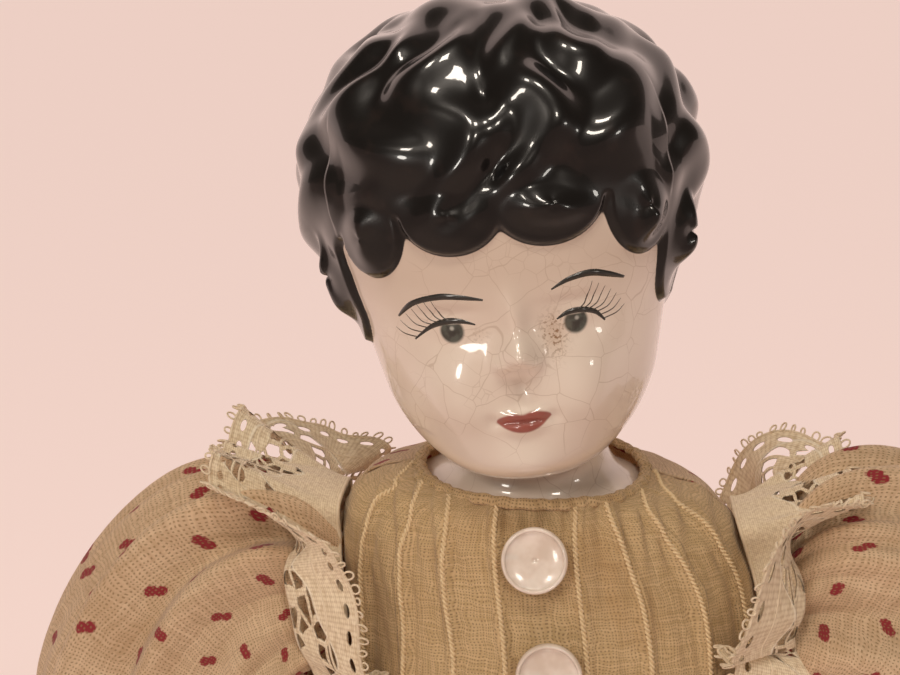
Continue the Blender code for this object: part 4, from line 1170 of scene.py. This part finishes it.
def build_lace():
    """Gathered lace ruffles with picot loops and a corded edge."""
    net = lace_material()
    edge = thread_material("lace_thread", (0.88, 0.76, 0.58), (0.66, 0.52, 0.34))
    turn = circle(12)[:, None]
    for name, side in SIDES.items():
        grid, uv, normal = lace_points(side, fine(900), fine(60))
        rows = np.broadcast_to(uv[-1, :, 1] - 1.6, grid.shape[:2])
        sheet = cloth(f"lace_ruffle_{name}_net", grid, 0.18, net, uv=uv, values={"edge_row": rows})
        place(sheet, "torso", "cream_lace", f"lace_ruffle_{name}")
        loops = Gather()
        rim = grid[-1]
        for line, thick in ((rim, 0.26), (grid[-fine(14)], 0.2), (grid[1], 0.3)):
            add_tube(loops, line, thick, normal)
        outward = unit(rim - grid[-fine(6)])
        tangent = unit(np.gradient(rim, axis=0))
        lengths = distances(rim)
        for k, spot in enumerate(np.arange(1.2, lengths[-1] - 1.0, PICOT_PITCH)):
            i = int(np.searchsorted(lengths, spot))
            size = 0.72 + 0.16 * math.sin(4.7 * k)
            flat = np.cross(outward[i], tangent[i])
            loop = (rim[i] + outward[i] * size * (0.9 + np.cos(turn))
                    + tangent[i] * size * 0.75 * np.sin(turn) + flat * 0.3 * np.sin(turn + k))
            add_tube(loops, loop, 0.17, flat, True, 5)
        place(loops.piece(f"lace_edge_{name}", edge), "torso", "cream_lace")


# ---------------------------------------------------------------- skirts and underclothes
# half width and half depth of the skirt where it is sewn to the waistband
WAIST = (24.2, 18.2)


def skirt_point(box, angle, share, fullness, inset):
    """A skirt surface between its waist and hem boxes, drawn in below the waist by the inset."""
    low, high = box
    swing = 0.40 * (1.0 - np.exp(-share / 0.055)) + 0.60 * share
    x = (WAIST[0] + (high[0] - WAIST[0]) * swing) * np.cos(angle)
    y = (WAIST[1] + (high[1] - WAIST[1]) * swing) * np.sin(angle)
    fold = fullness * (smooth(share / 0.5) * (1.5 * np.sin(angle * 15.0 + 1.5 * np.sin(share * 3.0))
                                               + 0.8 * np.sin(angle * 31.0 + 2.0))
                       + np.exp(-share / 0.12) * 0.7 * np.sin(angle * 44.0))
    out = unit(np.stack([x, y, np.zeros_like(x)], axis=-1))
    z = high[2] + (low[2] - high[2]) * share
    fold = fold - (1.7 * fullness + inset) * smooth(share / 0.3)
    return np.stack([x, y, z], axis=-1) + out * fold[..., None]


def build_skirts(voile, cotton):
    """Skirt and petticoat, each in a left and a right half."""
    for node, material, slot_name, fullness, inset in (("skirt", voile, "dotted_voile", 1.0, 0.0),
                                                       ("petticoat", cotton, "white_cotton", 0.4, 3.4)):
        for name, side in SIDES.items():
            half_turn = np.linspace(-np.pi / 2 - 0.05, np.pi / 2 + 0.05, fine(260))
            away, share = np.meshgrid(half_turn, np.linspace(0.0, 1.0, fine(150)))
            points = skirt_point(node_box(node), away + (0.0 if side > 0 else np.pi), share, fullness, inset)
            # the halves overlap at their edges, the right one outside
            tuck = smooth((np.abs(away) - np.pi / 2 + 0.12) / 0.1)
            points = (points - level_out(points) * (0.5 * side * tuck)[..., None])[:, ::-1]
            sheet = cloth(f"{node}_{name}_half", points, 0.35, material)
            blend_at(sheet)
            place(sheet, None, slot_name, *([node] if side > 0 else []))


def build_drawers(cotton):
    """Drawers: a hip part on the torso and a gathered leg on each side."""
    low, high = node_box("drawers_hips")
    angle, share = np.meshgrid(circle(160), np.linspace(0.0, 1.0, 50))
    taper = 1.0 - 0.18 * share ** 1.5
    fold = 0.2 * np.sin(angle * 19.0) * share
    points = np.stack([(high[0] * taper - 0.7 + fold) * np.cos(angle),
                       ((high[1] - 0.4) * taper ** 0.3 - 0.6 + fold) * np.sin(angle),
                       low[2] + (high[2] - low[2]) * share], axis=-1)[:, ::-1]
    hips = cloth("drawers_hips_cloth", points[::-1], 0.35, cotton, True, even_uv(points, True))
    place(hips, "torso", "white_cotton", "drawers_hips")
    for name in SIDES:
        low, high = node_box(f"drawers_{name}")
        angle, share = np.meshgrid(circle(150), np.linspace(0.0, 1.0, 110))
        radius = 13.6 + 1.5 * smooth(share * 3.0) - 0.6 * np.exp(-((share - 0.93) / 0.03) ** 2)
        radius = radius + 0.4 * np.sin(angle * 14.0 + 2.0 * np.sin(share * 4.0)) * smooth(share * 4.0) - 0.5
        points = np.stack([(low[0] + high[0]) / 2.0 + radius * np.cos(angle), (radius + 1.0) * np.sin(angle),
                           high[2] + (low[2] - high[2]) * share], axis=-1)
        sheet = cloth(f"drawers_{name}_cloth", points[:, ::-1], 0.35, cotton, True, even_uv(points, True))
        blend_at(sheet)
        place(sheet, None, "white_cotton", f"drawers_{name}")


# ---------------------------------------------------------------- stuffed limbs and china limbs
def skin_copy(node, name, material, voxel, rounds, factor, welded=False):
    """A smooth skin grown over a CAD solid, with the solid's corners joined first if welded."""
    source = frame["nodes"][node]
    mesh = source.data.copy()
    mesh.transform(source.matrix_world)
    mesh.materials.clear()
    mesh.materials.append(material)
    piece = add_object(name, mesh)
    if welded:
        weld = piece.modifiers.new("weld", "WELD")
        weld.merge_threshold = 0.00001
    remesh = piece.modifiers.new("skin", "REMESH")
    remesh.mode, remesh.voxel_size = "VOXEL", voxel * MM
    relax = piece.modifiers.new("relax", "SMOOTH")
    relax.iterations, relax.factor = rounds, factor
    baked = bpy.data.meshes.new_from_object(piece.evaluated_get(bpy.context.evaluated_depsgraph_get()))
    piece.modifiers.clear()
    piece.data = baked
    baked.shade_smooth()
    return piece


def read_out(items, key, width, kind=np.float32):
    """All values of one property of many mesh elements, in rows."""
    values = np.empty(len(items) * width, kind)
    items.foreach_get(key, values)
    return values.reshape(-1, width) if width > 1 else values


def soft_copy(node, name, material, voxel, puff, seed):
    """A slightly creased cloth skin over a stuffed CAD solid, woven round its upright axis."""
    piece = skin_copy(node, name, material, voxel, 6, 0.6)
    baked = piece.data
    points = read_out(baked.vertices, "co", 3) / MM
    middle = (points.max(axis=0) + points.min(axis=0)) / 2.0
    angle = np.arctan2(points[:, 1] - middle[1], points[:, 0] - middle[0])
    crease = puff * waves(angle * 2.0 + 0.1 * points[:, 2], points[:, 2] * 0.45, seed)
    points = points + read_out(baked.vertex_normals, "vector", 3) * crease[:, None]
    baked.vertices.foreach_set("co", (points * MM).astype(np.float32).ravel())
    corners = read_out(baked.loops, "vertex_index", 1, np.int32)
    radius = np.hypot(points[:, 0] - middle[0], points[:, 1] - middle[1]).mean()
    uv = np.stack([angle * radius, points[:, 2]], 1)[corners]
    # corners of one face stay on one side of the seam
    starts = read_out(baked.polygons, "loop_start", 1, np.int32)
    first = np.repeat(uv[starts, 0], np.diff(np.append(starts, len(corners))))
    girth = 2.0 * np.pi * radius
    uv[:, 0] -= np.round((uv[:, 0] - first) / girth) * girth
    store_uv(baked, uv)
    return piece


def build_body(cotton):
    """Stuffed torso and limbs with creased skins, and their string seams and ties."""
    place(soft_copy("torso_body", "torso_skin", cotton, 1.0, 0.2, 1.0), "torso", "body_cotton", "torso_body")
    twine = thread_material("linen_twine", (0.62, 0.50, 0.34), (0.40, 0.30, 0.18))
    for name, side in SIDES.items():
        for node, body in ((f"upper_arm_{name}", f"arm_{name}"), (f"elbow_cloth_{name}", f"forearm_{name}"),
                           (f"thigh_{name}", f"thigh_{name}"), (f"calf_cloth_{name}", f"calf_{name}")):
            skin = soft_copy(node, f"{node}_skin", cotton, 0.55, 0.12, 2.0 + side)
            place(skin, body, "body_cotton", node)
        # straight seams across the limbs
        for node, body in ((f"elbow_seam_{name}", f"arm_{name}"), (f"hip_seam_{name}", "torso"),
                           (f"knee_seam_{name}", f"thigh_{name}")):
            middle, half = node_middle(node)
            reach = half[0] * (RIGHTWARD + side * math.tan(ARM_SPREAD) * UPWARD * ("elbow" in node))
            path = np.linspace(middle - reach, middle + reach, 30)
            place(cord_piece(f"{node}_cord", twine, [path], 0.5, 1.6), body, "linen_string", node)
        # strings tied round the limbs over the necks of the china
        for node, body, spread in ((f"arm_tie_{name}", f"forearm_{name}", ARM_SPREAD),
                                   (f"leg_tie_{name}", f"calf_{name}", 0.0)):
            middle, half = node_middle(node)
            radius = half[1] - 0.55
            ring = loop_path(middle, radius * arm_axes(side, spread)[1], -radius * FORWARD, 60)
            cord = cord_piece(f"{node}_cord", twine, [ring], 0.55, 1.8, UPWARD, True)
            place(cord, body, "linen_string", node)
        # stitches through the sew holes of the shoulder plate
        for end, ahead in (("front", -1.0), ("back", 1.0)):
            node = f"plate_stitch_{end}_{name}"
            points = node_points(node)
            middle = points.mean(axis=0)
            out = level_out(np.ptp(points, axis=0) * [side, ahead, 0.0])
            ring = loop_path(middle, out * (np.ptp((points - middle) @ out) / 2.0 - 0.4),
                             UPWARD * (np.ptp(points[:, 2]) / 2.0 - 0.4), 40)
            cord = cord_piece(f"{node}_cord", twine, [ring], 0.4, 1.3, np.cross(out, UPWARD), True)
            place(cord, "torso", "linen_string", node)


def build_china_limbs():
    """Forearms with hands, and lower legs in painted boots."""
    white = limb_china_material("limb_china")
    boot = limb_china_material("boot_china", 33.4)
    for name in SIDES:
        for node, label, paint, body in ((f"forearm_{name}", "china_forearm", white, f"forearm_{name}"),
                                         (f"lower_leg_{name}", "china_leg", boot, f"calf_{name}")):
            place(skin_copy(node, f"{label}_{name}", paint, 0.4, 8, 0.7, True), body, "glazed_china", node)


# ---------------------------------------------------------------- stage
# the main view in millimetres and degrees: close, a little above the face, slightly rolled
CAMERA_AIM = (-16.4, -20.0, 370.8)
CAMERA_BACK = direction(5.0, 17.0)
CAMERA_ROLL = 0.9
CAMERA_FAR = 190.9
CAMERA_LENS = 53.05
LAMP_FAR = 0.62

WALL = (0.90, 0.685, 0.615)
ROOM = (0.085, 0.065, 0.05)


def backdrop_paint():
    """Pale pink-beige paper with a soft glow, dim in front of the doll when mirrored in the glaze."""
    n = Nodes("pale_floor_paint")
    behind = n.step(n.parts(n.place())[1], -0.25, 0.1, 0.12, 1.0)
    seen = 1.0 - Value(n, n.node("LightPath").outputs["Is Glossy Ray"])
    away = Value(n, n.node("VectorMath", {0: n.place()}, operation="LENGTH").outputs["Value"])
    glow = n.math("MAXIMUM", behind, seen) * n.step(away, 0.08, 0.62, 0.62, 1.0) * 0.80
    n.look(Base_Color=colour(0.45, 0.36, 0.32), Roughness=0.9, Specular_IOR_Level=0.0,
           Emission_Color=colour(*WALL), Emission_Strength=glow)
    return n.material


def build_world():
    """Bright wall behind and beside the doll, a dim warm room in front, and an even wall for the camera."""
    world = bpy.data.worlds.new("room")
    bpy.context.scene.world = world
    n = Nodes("room", world)
    n.tree.nodes.clear()
    view = n.node("TexCoord").outputs["Generated"]
    along = n.node("VectorMath", {0: view, 1: -CAMERA_BACK}, operation="DOT_PRODUCT").outputs["Value"]
    around = n.mix(n.step(along, 0.16, 0.24), colour(*ROOM), colour(*WALL))
    seen = n.node("LightPath").outputs["Is Camera Ray"]
    shade = n.mix(seen, around, colour(*[0.94 * level for level in WALL]))
    light = n.node("Background", {0: shade}).outputs[0]
    n.node("OutputWorld", {0: light})


def add_lamp(name, spot, back, far, size, watts, tint):
    """An oval lamp at a distance back from a spot, turned towards it."""
    data = bpy.data.lights.new(name, "AREA")
    data.shape, data.size, data.size_y = "ELLIPSE", *size
    data.energy, data.color = watts, tint
    lamp = add_object(name, data)
    lamp.location = spot + back * far
    lamp.rotation_mode = "QUATERNION"
    lamp.rotation_quaternion = back.to_track_quat("Z", "Y")
    return lamp


def catch_light(name, x, z, size, watts):
    """A lamp seen only as the bright spot it makes on the glaze at an arc place on the face."""
    spot, across, up = on_face([x, x + 0.4, x], [z, z, z + 0.4]) * MM
    normal = Vector(unit(np.cross(across - spot, up - spot)))
    spot = Vector(spot)
    sight = (spot - bpy.context.scene.camera.location).normalized()
    back = sight - 2.0 * sight.dot(normal) * normal
    lamp = add_lamp(name, spot, back, LAMP_FAR, size, watts, (1.0, 0.94, 0.86))
    lamp.visible_diffuse = False
    lamp.visible_transmission = False


def build_stage():
    """Pale floor, room light and lamps."""
    bpy.ops.mesh.primitive_plane_add(size=24.0, location=(0.0, 0.0, -0.0005))
    floor = bpy.context.object
    floor.name = "pale_floor"
    floor.data.materials.append(backdrop_paint())
    build_world()
    face = Vector((0.0, -0.02, CHIN_Z * MM + 0.02))
    lamps = [(-24.0, 31.0, 0.513), (20.0, 31.0, 0.513), (-20.0, 62.0, 0.57), (16.0, 62.0, 0.57)]
    for k, (azimuth, height, watts) in enumerate(lamps):
        lamp = add_lamp(f"lamp_{k + 1}", face, direction(azimuth, height), LAMP_FAR, (0.08, 0.08), watts,
                        (1.0, 0.90, 0.79))
        lamp.data.shape = "SQUARE"
    window = add_lamp("soft_window", face, direction(-48.0, 30.0), 0.9, (0.5, 0.5), 1.5, (1.0, 0.91, 0.82))
    window.data.shape = "SQUARE"
    window.visible_glossy = False
    catch_light("cheek_light_left", 10.0, 17.5, (0.09, 0.06), 0.16)
    catch_light("cheek_light_right", -8.6, 18.2, (0.10, 0.12), 0.55)
    bpy.context.scene.view_settings.view_transform = "Standard"


def build_camera():
    """The main view."""
    data = bpy.data.cameras.new("view")
    data.lens, data.sensor_width, data.clip_start = CAMERA_LENS, 36.0, 0.01
    camera = add_object("view", data)
    camera.location = (Vector(CAMERA_AIM) + CAMERA_BACK * CAMERA_FAR) * MM
    turn = CAMERA_BACK.to_track_quat("Z", "Y").to_matrix().to_4x4()
    camera.rotation_euler = (turn @ Matrix.Rotation(math.radians(CAMERA_ROLL), 4, "Z")).to_euler()
    bpy.context.scene.camera = camera


def main():
    """Build everything."""
    build_head()
    build_brushwork()
    build_buttons()
    dotted = weave_material("dotted_voile_weave", (0.90, 0.70, 0.48), (0.74, 0.54, 0.34), (0.40, 0.25, 0.12),
                            dots=(7.4, 6.6), stains=0.35, see_through=0.3)
    band = weave_material("cream_band_weave", (0.74, 0.55, 0.32), (0.58, 0.41, 0.22), (0.28, 0.17, 0.08))
    voile = weave_material("cream_voile_weave", (0.78, 0.58, 0.33), (0.61, 0.43, 0.22), (0.28, 0.17, 0.08))
    cotton = weave_material("white_cotton_weave", (0.72, 0.66, 0.56), (0.62, 0.55, 0.44), (0.4, 0.33, 0.24),
                            pitch=0.35)
    body = weave_material("body_cotton_weave", (0.62, 0.52, 0.38), (0.52, 0.42, 0.29), (0.3, 0.22, 0.14),
                          pitch=0.4)
    build_bodice(voile, dotted)
    build_sleeves(dotted, band)
    build_lace()
    build_skirts(dotted, cotton)
    build_drawers(cotton)
    build_body(body)
    build_china_limbs()
    build_camera()
    build_stage()


main()
